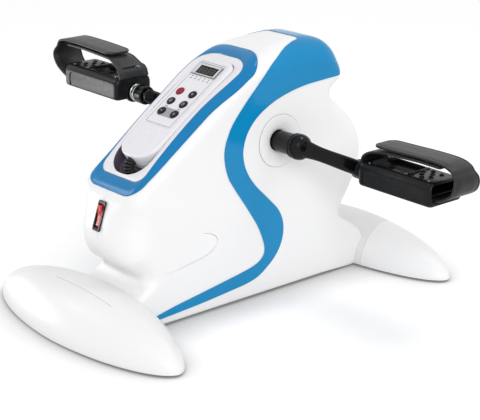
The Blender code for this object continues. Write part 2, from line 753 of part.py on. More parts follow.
def handset():
    """The removable handset: back shell, top shell, label, display, buttons and board."""
    split = -HANDSET_SPLIT
    back = strip_solid(
        "handset_back",
        [
            (handset_rows(HANDSET_CHAMFER), level(-HANDSET_THICKNESS)),
            (handset_rows(0), level(-HANDSET_THICKNESS + HANDSET_CHAMFER)),
            (handset_rows(0), level(split)),
        ],
        handset_point,
        WHITE,
    )
    hollow = strip_solid(
        "handset_back_hollow",
        [
            (handset_rows(HANDSET_CHAMFER + HANDSET_WALL), level(-HANDSET_THICKNESS + HANDSET_WALL)),
            (handset_rows(HANDSET_CHAMFER + HANDSET_WALL), level(split + 5 * MM)),
        ],
        handset_point,
        WHITE,
    )
    boolean(back, as_cutter(hollow))
    top = strip_solid(
        "handset_top",
        [
            (handset_rows(0), level(split + GAP)),
            (handset_rows(0), level(-HANDSET_CHAMFER)),
            (handset_rows(HANDSET_CHAMFER * 0.3), level(-HANDSET_CHAMFER * 0.3)),
            (handset_rows(HANDSET_CHAMFER), level(0)),
        ],
        handset_point,
        WHITE,
    )
    room = strip_solid(
        "handset_top_hollow",
        [
            (handset_rows(HANDSET_CHAMFER + HANDSET_WALL), level(split - 5 * MM)),
            (handset_rows(HANDSET_CHAMFER + HANDSET_WALL), level(-HANDSET_WALL)),
        ],
        handset_point,
        WHITE,
    )
    boolean(top, as_cutter(room))
    tilt = (HANDSET_SLOPE, 0, 0)
    label_base = GAP
    label = box(
        "handset_label",
        (2 * LABEL_HALF_WIDTH, LABEL_HIGH - LABEL_LOW, LABEL_THICKNESS),
        handset_point(0, (LABEL_LOW + LABEL_HIGH) / 2, label_base + LABEL_THICKNESS / 2),
        WHITE,
        tilt,
    )
    display_hole = box(
        "display_hole",
        (DISPLAY_WINDOW_WIDTH + 2 * GAP, DISPLAY_WINDOW_HEIGHT + 2 * GAP, 12 * MM),
        handset_point(0, DISPLAY_S, 0),
        GREY,
        tilt,
    )
    as_cutter(display_hole)
    boolean(top, display_hole)
    boolean(label, display_hole)
    frame_base = label_base + LABEL_THICKNESS + GAP
    frame = box(
        "display_frame",
        (DISPLAY_FRAME_WIDTH, DISPLAY_FRAME_HEIGHT, DISPLAY_FRAME_RISE),
        handset_point(0, DISPLAY_S, frame_base + DISPLAY_FRAME_RISE / 2),
        GREY,
        tilt,
    )
    boolean(frame, display_hole)
    board_top = -HANDSET_WALL - BOARD_DEPTH
    module_top = -GAP - HANDSET_WALL
    box(
        "display_window",
        (DISPLAY_WINDOW_WIDTH, DISPLAY_WINDOW_HEIGHT, frame_base - module_top + 0.2 * MM),
        handset_point(0, DISPLAY_S, (frame_base + 0.2 * MM + module_top) / 2),
        GLASS,
        tilt,
    )
    box(
        "display_module",
        (DISPLAY_FRAME_WIDTH, DISPLAY_FRAME_HEIGHT, module_top - GAP - board_top - GAP),
        handset_point(0, DISPLAY_S, (module_top - GAP + board_top + GAP) / 2),
        BLACK,
        tilt,
    )
    box(
        "handset_board",
        (2 * (HANDSET_HALF_WIDTH - HANDSET_CHAMFER - HANDSET_WALL - 2 * GAP), BOARD_LENGTH, BOARD_THICKNESS),
        handset_point(0, (HANDSET_HIGH - 12 * MM + 30 * MM) / 2, board_top - BOARD_THICKNESS / 2),
        GREEN,
        tilt,
    )
    names = (
        ("start_stop_button", "mode_button"),
        ("speed_up_button", "time_up_button"),
        ("speed_down_button", "time_down_button"),
    )
    collar_top = -HANDSET_WALL - GAP
    crown = frame_base + BUTTON_RISE
    radius = BUTTON_RADIUS
    for row, pair in zip(BUTTON_ROWS, names):
        for sign, name in zip((-1, 1), pair):
            profile = [
                (0, crown),
                (radius * 0.75, crown - 0.25 * MM),
                (radius, crown - 0.9 * MM),
                (radius, collar_top),
                (radius + BUTTON_COLLAR, collar_top),
                (radius + BUTTON_COLLAR, collar_top - 1.4 * MM),
                (2.2 * MM, collar_top - 1.4 * MM),
                (2.2 * MM, board_top + BUTTON_TRAVEL + GAP),
                (0, board_top + BUTTON_TRAVEL + GAP),
            ]
            centre = handset_point(sign * BUTTON_X, row, 0)
            colour = RED if name == "start_stop_button" else BLACK
            turned(name, profile, centre, colour, tilt, steps=20)
            hole = rod(name + "_hole", radius + GAP, 14 * MM, centre, BLACK, tilt, 20)
            as_cutter(hole)
            boolean(top, hole)
            boolean(label, hole)


def cord_route():
    """The curly cord's middle line in the handset's frame, as (s, h)."""
    start = HANDSET_LOW - GAP
    well_s = HANDSET_LOW - CORD_BEND
    route = [(start, -CORD_DEPTH), (start - 1.5 * MM, -CORD_DEPTH)]
    bend = CORD_BEND - 2 * MM
    for k in range(1, 5):
        a = math.pi / 2 * k / 4
        route.append((well_s + bend * (1 - math.sin(a)), -CORD_DEPTH - bend * (1 - math.cos(a))))
    route.append((well_s, -HANDSET_THICKNESS - GAP))
    route.append((well_s, -HANDSET_THICKNESS - WELL_DEPTH * 0.5))
    route.append((well_s, -HANDSET_THICKNESS - WELL_DEPTH + 4 * MM))
    return route


def tube(name, points, radius, material, resolution=2):
    """A round tube along points, as a mesh with closed ends."""
    curve = bpy.data.curves.new(name + "_curve", "CURVE")
    curve.dimensions = "3D"
    curve.bevel_depth = radius
    curve.bevel_resolution = resolution
    curve.use_fill_caps = True
    spline = curve.splines.new("POLY")
    spline.points.add(len(points) - 1)
    for slot, point in zip(spline.points, points):
        slot.co = (*point, 1)
    guide = bpy.data.objects.new(name + "_guide", curve)
    PARTS.objects.link(guide)
    shape = guide.evaluated_get(bpy.context.evaluated_depsgraph_get())
    mesh = bpy.data.meshes.new_from_object(shape)
    bpy.data.objects.remove(guide)
    work = bmesh.new()
    work.from_mesh(mesh)
    bmesh.ops.remove_doubles(work, verts=work.verts, dist=0.000001)
    bmesh.ops.recalc_face_normals(work, faces=work.faces)
    work.to_mesh(mesh)
    work.free()
    return add_object(name, mesh, material)


def switch_place():
    """Where the rocker switch sits on the belly: its middle, and the angle it leans by."""
    low = Vector((0, -196.3 * OUTLINE_Y, 118 * OUTLINE_Z))
    high = Vector((0, -184.9 * OUTLINE_Y, 151 * OUTLINE_Z))
    along = high - low
    return (low + high) / 2, math.atan2(along.z, along.y)


def belly_offset(middle, outward):
    """How far the belly bulges past the switch's middle."""
    best = 0
    for y, z, r, ny, nz in body_outline(steps=3):
        rel = Vector((0, y, z)) - middle
        across = (rel - outward * rel.dot(outward)).length
        if across < SWITCH_LENGTH / 2 and rel.dot(outward) > -20 * MM:
            best = max(best, rel.dot(outward))
    return best


def switch():
    """The mains rocker: frame and rocker, and the slot that the body has for them."""
    middle, lean = switch_place()
    outward = Vector((0, -math.sin(lean), math.cos(lean)))
    seat = belly_offset(middle, outward) + GAP
    middle = middle + outward * seat
    turn = (lean, 0, 0)
    frame = box(
        "switch_frame",
        (SWITCH_WIDTH, SWITCH_LENGTH, SWITCH_FLANGE),
        middle + outward * (SWITCH_FLANGE / 2),
        BLACK,
        turn,
    )
    bevel(frame, 0.5 * MM, 1)
    body_width = SWITCH_WIDTH - 2 * 1.5 * MM
    body_length = SWITCH_LENGTH - 2 * 3 * MM
    body = box(
        "switch_body",
        (body_width, body_length, SWITCH_DEPTH),
        middle + outward * (0.5 * MM - SWITCH_DEPTH / 2),
        BLACK,
        turn,
    )
    boolean(frame, as_cutter(body), "UNION")
    cavity_width = body_width - 2 * 1.2 * MM
    cavity_length = body_length - 2 * 1.2 * MM
    cavity_depth = SWITCH_DEPTH - 3 * MM
    cavity = box(
        "switch_cavity",
        (cavity_width, cavity_length, cavity_depth + 10 * MM),
        middle + outward * (5 * MM - cavity_depth / 2 + 0.5 * MM),
        BLACK,
        turn,
    )
    boolean(frame, as_cutter(cavity))
    slot = box(
        "switch_slot",
        (body_width + 2 * GAP, body_length + 2 * GAP, 2 * SWITCH_DEPTH + 20 * MM),
        middle,
        BLACK,
        turn,
    )
    as_cutter(slot)
    pivot = empty("rocker_axis", middle - outward * 2 * MM)
    half = cavity_length / 2 - 0.6 * MM
    across = cavity_width - 2 * GAP
    waist = 1.6 * MM + ROCKER_RISE * 0.6
    front = [(0.4 * half, waist), (half - 1.2 * MM, 4.2 * MM), (half, 1.0 * MM), (0.5 * half, -3.0 * MM)]
    outline = [(0, 1.4 * MM + ROCKER_RISE * 0.5), *front, (0, -5.0 * MM)]
    outline += [(-y, z) for y, z in reversed(front)]
    rocker = extruded("switch_rocker", outline, -across / 2, across / 2, RED)
    rocker.rotation_euler = (lean + ROCKER_TILT, 0, 0)
    rocker.parent = pivot
    return frame, rocker, slot


def dome_height(x, y, half_length, half_width, rise):
    """A foot's dome over its plan, with x and y from the foot's middle."""
    p = FOOT_PLAN_POWER
    reach = ((abs(x) / half_length) ** p + (abs(y) / half_width) ** p) ** (1 / p)
    reach = min(reach, 1)
    return FOOT_BOTTOM + rise * (1 - reach**FOOT_DOME_POWER) ** (1 / FOOT_DOME_POWER)


def front_foot_height(x, y):
    return dome_height(x, y, FRONT_FOOT_HALF_LENGTH, FRONT_FOOT_HALF_WIDTH, FRONT_FOOT_RISE)


def rear_foot_height(x, y):
    return dome_height(x, y, REAR_FOOT_HALF_LENGTH, REAR_FOOT_HALF_WIDTH, REAR_FOOT_RISE)


FOOT_SPOKES = 44
FOOT_RINGS = (0.18, 0.36, 0.52, 0.66, 0.77, 0.86, 0.93, 0.975, 1.0)


def foot_cover(name, centre_y, half_length, half_width, height):
    """A foot's moulded cover: a thin dome, open below."""
    p = FOOT_PLAN_POWER
    points = [Vector((0, centre_y, height(0, 0)))]
    for ring in FOOT_RINGS:
        for k in range(FOOT_SPOKES):
            a = 2 * math.pi * k / FOOT_SPOKES
            c = math.cos(a)
            s = math.sin(a)
            reach = ring * (abs(c) ** p + abs(s) ** p) ** (-1 / p)
            x = half_length * reach * c
            y = half_width * reach * s
            z = height(x, y) if ring < 1 else FOOT_BOTTOM
            points.append(Vector((x, centre_y + y, z)))
    faces = []
    for k in range(FOOT_SPOKES):
        faces.append((0, 1 + k, 1 + (k + 1) % FOOT_SPOKES))
    for j in range(len(FOOT_RINGS) - 1):
        for k in range(FOOT_SPOKES):
            a = 1 + j * FOOT_SPOKES + k
            b = 1 + j * FOOT_SPOKES + (k + 1) % FOOT_SPOKES
            faces.append((a, a + FOOT_SPOKES, b + FOOT_SPOKES, b))
    mesh = bpy.data.meshes.new(name)
    mesh.from_pydata([tuple(q) for q in points], [], faces)
    thing = add_object(name, mesh, WHITE)
    shell = thing.modifiers.new("Solidify", "SOLIDIFY")
    shell.thickness = FOOT_WALL
    shell.offset = -1
    return thing


def feet(body_cut):
    """The two foot covers, the rear one in a saddle and two end caps, and the rubber pads."""
    front = foot_cover(
        "front_foot_cover", FRONT_FOOT_Y, FRONT_FOOT_HALF_LENGTH, FRONT_FOOT_HALF_WIDTH, front_foot_height
    )
    boolean(front, body_cut)
    for name, side in (("rear_foot_saddle", 0), ("rear_foot_cap_left", -1), ("rear_foot_cap_right", 1)):
        piece = foot_cover(name, REAR_FOOT_Y, REAR_FOOT_HALF_LENGTH, REAR_FOOT_HALF_WIDTH, rear_foot_height)
        boolean(piece, body_cut)
        reach = 2 * REAR_FOOT_HALF_LENGTH
        for edge in (-1, 1):
            if side == -edge:
                continue
            outward = Vector((edge * math.cos(CAP_SEAM_ANGLE), math.sin(CAP_SEAM_ANGLE), 0))
            seam = Vector((edge * CAP_SEAM_X, REAR_FOOT_Y - 10 * MM, 20 * MM))
            push = (reach - GAP) / 2 if side == 0 else (GAP - reach) / 2
            cut = box(
                name + ("_cut_right" if edge > 0 else "_cut_left"),
                (reach, reach, reach),
                seam + outward * push,
                WHITE,
                (0, 0, edge * CAP_SEAM_ANGLE),
            )
            boolean(piece, as_cutter(cut))
    for name, x, y in pad_places():
        profile = [
            (0, PAD_HEIGHT), (PAD_RADIUS * 0.8, PAD_HEIGHT), (PAD_RADIUS, 2 * MM),
            (PAD_RADIUS - 1 * MM, 0), (0, 0),
        ]
        turned(name, profile, (x, y, 0), RUBBER, ALONG_Z, steps=24)


def pad_places():
    return (
        ("front_pad_left", -PAD_X, FRONT_FOOT_Y),
        ("front_pad_right", PAD_X, FRONT_FOOT_Y),
        ("rear_pad_left", -PAD_X, REAR_FOOT_Y),
        ("rear_pad_right", PAD_X, REAR_FOOT_Y),
    )


TUBE_BOTTOM = PAD_HEIGHT + GAP
BEAM_BOTTOM = TUBE_BOTTOM + 1 * MM
BEAM_TOP = BEAM_BOTTOM + BEAM_HEIGHT


def frame_pieces():
    """Cross tubes in the feet, the beam that joins them, and the post that carries the crank."""
    for name, y in (("front_cross_tube", FRONT_FOOT_Y), ("rear_cross_tube", REAR_FOOT_Y)):
        bar = box(
            name,
            (2 * CROSS_TUBE_HALF_LENGTH, CROSS_TUBE_DEPTH, CROSS_TUBE_HEIGHT),
            (0, y, TUBE_BOTTOM + CROSS_TUBE_HEIGHT / 2),
            PAINTED,
        )
        bevel(bar, 3 * MM, 2)
    start = FRONT_FOOT_Y + CROSS_TUBE_DEPTH / 2 + GAP
    end = REAR_FOOT_Y - CROSS_TUBE_DEPTH / 2 - GAP
    box(
        "base_beam",
        (BEAM_WIDTH, end - start, BEAM_HEIGHT),
        (0, (start + end) / 2, BEAM_BOTTOM + BEAM_HEIGHT / 2),
        PAINTED,
    )
    post_bottom = BEAM_TOP + GAP
    post_top = CRANK_Z - SHELL_RADIUS * 0.8
    post = box(
        "crank_post",
        (POST_WIDTH, POST_LENGTH, post_top - post_bottom),
        (0, CRANK_Y, (post_top + post_bottom) / 2),
        PAINTED,
    )
    shell = rod(
        "crank_shell", SHELL_RADIUS, 2 * SHELL_HALF_LENGTH, (0, CRANK_Y, CRANK_Z), PAINTED, segments=28
    )
    boolean(post, as_cutter(shell), "UNION")
    bore = rod(
        "crank_shell_bore", BEARING_RADIUS + GAP, 2 * SHELL_HALF_LENGTH + 10 * MM,
        (0, CRANK_Y, CRANK_Z), PAINTED, segments=28,
    )
    boolean(post, as_cutter(bore))
    for name, side in (("bearing_left", -1), ("bearing_right", 1)):
        half = BEARING_WIDTH / 2
        profile = [
            (AXLE_RADIUS + GAP, half), (BEARING_RADIUS, half), (BEARING_RADIUS, -half),
            (AXLE_RADIUS + GAP, -half),
        ]
        centre = (side * (SHELL_HALF_LENGTH - half), CRANK_Y, CRANK_Z)
        turned(name, profile, centre, STEEL, steps=28, ring=True)
    bracket_height = MOTOR_Z - MOTOR_RADIUS - GAP - post_bottom
    box(
        "motor_bracket",
        (MOTOR_LENGTH * 0.6, 2 * MOTOR_RADIUS * 0.7, bracket_height),
        (-2 * MM, MOTOR_Y, post_bottom + bracket_height / 2),
        STEEL,
    )


def crank_side(side, axis):
    """One crank arm with its cap, the pedal's spindle, the pedal and its straps."""
    word = "right" if side > 0 else "left"
    centre = Vector((0, CRANK_Y, CRANK_Z))
    profile = [
        (0, EYE_END), (EYE_RADIUS * 0.55, EYE_END - 0.8 * MM), (EYE_RADIUS * 0.86, EYE_END - 3.5 * MM),
        (EYE_RADIUS, EYE_END - 8 * MM), (EYE_RADIUS, EYE_START + 2 * MM), (EYE_RADIUS - 2 * MM, EYE_START),
        (SLEEVE_RADIUS, EYE_START - 2 * MM), (SLEEVE_RADIUS, SLEEVE_START),
        (AXLE_RADIUS + GAP, SLEEVE_START), (AXLE_RADIUS + GAP, EYE_START), (0, EYE_START),
    ]
    turn = ALONG_X if side > 0 else (0, -math.pi / 2, 0)
    arm = turned("crank_arm_" + word, profile, centre, PAINTED, turn, steps=28)
    spread = Vector((0, side * math.cos(CRANK_ANGLE), -side * math.sin(CRANK_ANGLE))) * CRANK_LENGTH
    pedal_axis = centre + spread
    start = centre + Vector((side * (EYE_START + 7 * MM), 0, 0))
    end = pedal_axis + Vector((side * PEDAL_EYE_X, 0, 0))
    run = end - start
    bar = rod(
        "crank_bar_" + word, ARM_WIDTH / 2, run.length, (start + end) / 2, PAINTED, segments=16,
        oval=ARM_THICKNESS / ARM_WIDTH,
    )
    lean = run.to_track_quat("Z", "X")
    flat = lean @ Vector((1, 0, 0))
    wanted = (Vector((side, 0, 0)) - run.normalized() * run.normalized().x * side).normalized()
    roll = math.atan2(run.normalized().dot(flat.cross(wanted)), flat.dot(wanted))
    bar.rotation_euler = (Matrix.Rotation(roll, 3, run.normalized()) @ lean.to_matrix()).to_euler()
    eye = rod(
        "crank_eye_" + word, PEDAL_EYE_RADIUS, PEDAL_EYE_WIDTH, end, PAINTED, segments=24
    )
    bore = rod(
        "crank_eye_bore_" + word, SPINDLE_RADIUS + 1.5 * MM + GAP, PEDAL_EYE_WIDTH + 40 * MM, end, PAINTED,
        segments=20,
    )
    for piece in (bar, eye):
        boolean(arm, as_cutter(piece), "UNION")
    boolean(arm, as_cutter(bore))
    attach(arm, axis)
    inner_end = PEDAL_EYE_X - PEDAL_EYE_WIDTH / 2 - 5 * MM
    washer_start = PEDAL_EYE_X + PEDAL_EYE_WIDTH / 2 + GAP
    washer_end = PEDAL_INNER_X - 3 * MM
    tip = PEDAL_OUTER_X - WINDOW_DEPTH + 12 * MM
    neck = SPINDLE_RADIUS + 1.5 * MM
    profile = [
        (0, tip), (SPINDLE_RADIUS, tip), (SPINDLE_RADIUS, washer_end), (WASHER_RADIUS, washer_end),
        (WASHER_RADIUS, washer_start), (neck, washer_start), (neck, inner_end), (0, inner_end),
    ]
    spindle = turned("pedal_spindle_" + word, profile, pedal_axis, CHROME, turn, steps=20)
    attach(spindle, axis)
    pedal_empty = empty("pedal_axis_" + word, pedal_axis)
    build_pedal(side, word, pedal_axis, pedal_empty, tip)
    pedal_empty.parent = axis
    pedal_empty.location = pedal_axis - axis.location


def pedal_ring(x, in_y, in_z):
    """The pedal's cross-section at one place, drawn in by so much, with rounded corners."""
    half = PEDAL_HALF_WIDTH - in_y
    low = -PEDAL_BELOW + in_z
    high = PEDAL_ABOVE - in_z
    ring = []
    corners = ((half, high, 10, 0), (-half, high, 10, 90), (-half, low, 5, 180), (half, low, 5, 270))
    for y, z, radius, start in corners:
        r = radius * MM
        cy = y - math.copysign(r, y)
        cz = z - r if z > 0 else z + r
        for k in range(4):
            a = math.radians(start + 30 * k)
            ring.append(Vector((x, cy + r * math.cos(a), cz + r * math.sin(a))))
    return ring


# How the pedal's ends draw in: the distance from the end, and the inset across and up
PEDAL_END = ((0, 4.2, 2.2), (0.8, 2.4, 1.0), (2.4, 0.8, 0.3), (5.5, 0, 0))


def build_pedal(side, word, centre, axis, spindle_tip):
    """A pedal body with its end window and tread dip, and the two halves of its strap."""
    inner = [(PEDAL_INNER_X + d * MM, y * MM, z * MM) for d, y, z in PEDAL_END]
    outer = [(PEDAL_OUTER_X - d * MM, y * MM, z * MM) for d, y, z in reversed(PEDAL_END)]
    rings = [pedal_ring(side * x, y, z) for x, y, z in inner + outer]
    count = len(rings[0])
    points = [p for ring in rings for p in ring]
    faces = bridge(rings)
    faces.append(tuple(range(count)))
    faces.append(tuple(range(len(points) - count, len(points))))
    pedal = from_faces("pedal_" + word, points, faces, BLACK)
    pedal.location = centre
    bore_end = spindle_tip + 3 * MM
    bore_start = PEDAL_INNER_X - 5 * MM
    bore = rod(
        "pedal_bore_" + word, SPINDLE_RADIUS + SPINDLE_CLEARANCE, bore_end - bore_start,
        centre + Vector((side * (bore_start + bore_end) / 2, 0, 0)), BLACK, segments=20,
    )
    boolean(pedal, as_cutter(bore))
    low = -PEDAL_BELOW + WINDOW_LIP
    high = PEDAL_ABOVE - WINDOW_ROOF
    window = box(
        "pedal_window_" + word,
        (WINDOW_DEPTH + 10 * MM, 2 * (PEDAL_HALF_WIDTH - WINDOW_SIDE), high - low),
        centre + Vector((side * (PEDAL_OUTER_X - WINDOW_DEPTH / 2 + 5 * MM), 0, (high + low) / 2)),
        BLACK,
    )
    bevel(window, 3 * MM, 2)
    boolean(pedal, as_cutter(window))
    dip = box(
        "pedal_dip_" + word,
        (PEDAL_LENGTH * 0.5, 2 * PEDAL_HALF_WIDTH - 20 * MM, 8 * MM),
        centre + Vector((side * (PEDAL_INNER_X + PEDAL_LENGTH * 0.36), 0, PEDAL_ABOVE)),
        BLACK,
    )
    bevel(dip, 3 * MM, 2)
    boolean(pedal, as_cutter(dip))
    attach(pedal, axis)
    top = STRAP_TOP[word]
    strap("strap_outer_" + word, outer_strap_line(top, STRAP_TIP_X[word]), side, centre, axis)
    strap("strap_inner_" + word, inner_strap_line(top), side, centre, axis)


def outer_strap_line(top, tip):
    """Middle line of the strap's outboard half, as (outboard x, z from the spindle, half width)."""
    wide = STRAP_BASE_HALF_WIDTH
    slim = STRAP_HALF_WIDTH
    floor = -PEDAL_BELOW + WINDOW_LIP + 1.5 * GAP + STRAP_THICKNESS / 2
    end = PEDAL_OUTER_X
    reach = STRAP_REACH
    tail = [(end - 16 * MM, floor, wide - 1.5 * MM), (end - 2 * MM, floor, wide - 1.5 * MM)]
    tail.append((end + 14 * MM, 3.5 * MM, wide))
    bend = [(reach - 8 * MM, 9.5 * MM, wide), (reach, 19.5 * MM, wide), (reach - 1.5 * MM, 29 * MM, slim)]
    over = [(reach - 9.5 * MM, top - 4.4 * MM, slim), (end + 7.5 * MM, top + 1 * MM, slim)]
    run = [(end - 28 * MM, top + 0.9 * MM, slim), (end - 58 * MM, top, slim)]
    loose = [(tip + 9 * MM, top - 1 * MM, slim), (tip + 3 * MM, top - 1.2 * MM, slim - 1.5 * MM)]
    return tail + bend + over + run + loose + [(tip, top - 1.3 * MM, slim - 6 * MM)]


def inner_strap_line(top):
    """Middle line of the inboard half: up from the pedal's inner end, then under the other half."""
    t = STRAP_THICKNESS
    foot = PEDAL_INNER_X - 4 * GAP - t / 2
    under = top - t - 1.5 * GAP
    seat = PEDAL_ABOVE
    wide = STRAP_BASE_HALF_WIDTH + 2.5 * MM
    slim = STRAP_HALF_WIDTH
    points = [(foot, seat - 7.5 * MM, wide), (foot, seat - 1 * MM, wide)]
    points.append((foot + 5.5 * MM, seat + 3 * MM, wide))
    rise = [(foot + 26 * MM, under - 7.5 * MM, slim + 2 * MM), (foot + 42 * MM, under - 0.9 * MM, slim)]
    run = [(PEDAL_OUTER_X - 58 * MM, under, slim), (PEDAL_OUTER_X - 28 * MM, under + 0.7 * MM, slim)]
    return points + rise + run + [(PEDAL_OUTER_X + 7 * MM, under - 1 * MM, slim)]


def strap(name, line, side, centre, axis):
    """A flat strap of even thickness along a line in the XZ plane."""
    smooth = open_curve(line, 3)
    count = len(smooth)
    half = STRAP_THICKNESS / 2
    upper = []
    lower = []
    for i, (x, z, width) in enumerate(smooth):
        before = smooth[max(i - 1, 0)]
        after = smooth[min(i + 1, count - 1)]
        along = Vector((after[0] - before[0], after[1] - before[1])).normalized()
        upper.append((x - along.y * half, z + along.x * half, width))
        lower.append((x + along.y * half, z - along.x * half, width))
    loop = upper + lower[::-1]
    points = [Vector((side * x, edge * width, z)) for edge in (-1, 1) for x, z, width in loop]
    size = len(loop)
    faces = []
    for i in range(count - 1):
        j = size - 1 - i
        faces.append((i, i + 1, j - 1, j))
        faces.append((size + i, size + i + 1, size + j - 1, size + j))
    for i in range(size):
        j = (i + 1) % size
        faces.append((i, j, j + size, i + size))
    thing = from_faces(name, points, faces, RUBBER)
    thing.location = centre
    attach(thing, axis)
    return thing


def open_curve(points, steps):
    """A smooth open curve through points."""
    first = tuple(2 * a - b for a, b in zip(points[0], points[1]))
    last = tuple(2 * a - b for a, b in zip(points[-1], points[-2]))
    padded = [first, *points, last]
    result = []
    for p0, p1, p2, p3 in zip(padded, padded[1:], padded[2:], padded[3:]):
        for k in range(steps):
            t = k / steps
            value = []
            for a, b, c, d in zip(p0, p1, p2, p3):
                bend = (2 * a - 5 * b + 4 * c - d) * t**2 + (3 * b - a - 3 * c + d) * t**3
                value.append(0.5 * (2 * b + (c - a) * t + bend))
            result.append(tuple(value))
    result.append(points[-1])
    return result


def drive():
    """Crank axle, driven pulley, belt, motor with its pulley, and the power module."""
    centre = Vector((0, CRANK_Y, CRANK_Z))
    axis = empty("crank_axis", centre)
    tip = EYE_START - GAP
    axle = rod("crank_axle", AXLE_RADIUS, 2 * tip, centre, STEEL, segments=24)
    attach(axle, axis)
    half = PULLEY_WIDTH / 2
    rim = PULLEY_RADIUS
    hub = AXLE_RADIUS + 6 * MM
    web = half - 2.5 * MM
    profile = [
        (AXLE_RADIUS + GAP, half), (hub, half), (hub, web), (rim - 5 * MM, web), (rim - 5 * MM, half),
        (rim, half), (rim, -half), (rim - 5 * MM, -half), (rim - 5 * MM, -web), (hub, -web),
        (hub, -half), (AXLE_RADIUS + GAP, -half),
    ]
    pulley = turned("driven_pulley", profile, centre + Vector((PULLEY_X, 0, 0)), BLACK, steps=40, ring=True)
    attach(pulley, axis)
    motor_centre = Vector((0, MOTOR_Y, MOTOR_Z))
    motor_axis = empty("motor_axis", motor_centre)
    motor_face = PULLEY_X - half - 3 * MM
    motor_middle = motor_centre + Vector((motor_face - MOTOR_LENGTH / 2, 0, 0))
    motor = rod("gear_motor", MOTOR_RADIUS, MOTOR_LENGTH, motor_middle, STEEL, segments=28)
    shaft_end = motor_centre + Vector((motor_face, 0, 0))
    shaft_bore = rod("motor_shaft_bore", 4 * MM + GAP, 30 * MM, shaft_end, STEEL, segments=16)
    boolean(motor, as_cutter(shaft_bore))
    small = MOTOR_PULLEY_RADIUS
    stub = -half - 16 * MM
    profile = [(0, half), (small, half), (small, -half), (4 * MM, -half), (4 * MM, stub), (0, stub)]
    pinion = turned(
        "motor_pulley", profile, motor_centre + Vector((PULLEY_X, 0, 0)), STEEL, steps=24
    )
    attach(pinion, motor_axis)
    belt_piece()
    size = POWER_MODULE_SIZE
    module = box(
        "power_module", size, (0, POWER_MODULE_Y, BEAM_TOP + GAP + size[2] / 2), BLACK
    )
    bevel(module, 2 * MM, 1)
    return axis


def belt_loop(offset):
    """The belt's outline round both pulleys, offset from their rims."""
    a = Vector((MOTOR_Y, MOTOR_Z))
    b = Vector((CRANK_Y, CRANK_Z))
    ra = MOTOR_PULLEY_RADIUS + offset
    rb = PULLEY_RADIUS + offset
    run = b - a
    heading = math.atan2(run.y, run.x)
    spread = math.acos((ra - rb) / run.length)
    loop = []
    small_steps = 8
    for k in range(small_steps + 1):
        angle = heading + spread + (2 * math.pi - 2 * spread) * k / small_steps
        loop.append((a.x + ra * math.cos(angle), a.y + ra * math.sin(angle)))
    big_steps = 28
    for k in range(big_steps + 1):
        angle = heading - spread + 2 * spread * k / big_steps
        loop.append((b.x + rb * math.cos(angle), b.y + rb * math.sin(angle)))
    return loop


def belt_piece():
    inner = belt_loop(2 * GAP)
    outer = belt_loop(2 * GAP + BELT_THICKNESS)
    half = PULLEY_WIDTH / 2 - 0.5 * MM
    rings = []
    for offset, loop in ((-half, inner), (-half, outer), (half, outer), (half, inner)):
        rings.append([Vector((PULLEY_X + offset, y, z)) for y, z in loop])
    points = [p for ring in rings for p in ring]
    count = len(inner)
    faces = bridge(rings)
    for i in range(count):
        j = (i + 1) % count
        faces.append((3 * count + i, 3 * count + j, j, i))
    return from_faces("drive_belt", points, faces, RUBBER)


def crank_cover(word, side):
    """The round dished cover that closes the flank round the crank."""
    rim = BODY_HALF_WIDTH + GAP
    out = COVER_THICKNESS
    hole = SLEEVE_RADIUS + COVER_HOLE_CLEARANCE
    dish = rim - COVER_DISH
    inner = COVER_RADIUS - 3 * MM
    profile = [
        (hole, dish + out), (inner, rim + out), (COVER_RADIUS - 0.8 * MM, rim + out),
        (COVER_RADIUS, rim + out * 0.4), (COVER_RADIUS, rim), (inner, rim), (hole, dish),
    ]
    turn = ALONG_X if side > 0 else (0, -math.pi / 2, 0)
    return turned("crank_cover_" + word, profile, (0, CRANK_Y, CRANK_Z), WHITE, turn, steps=40, ring=True)


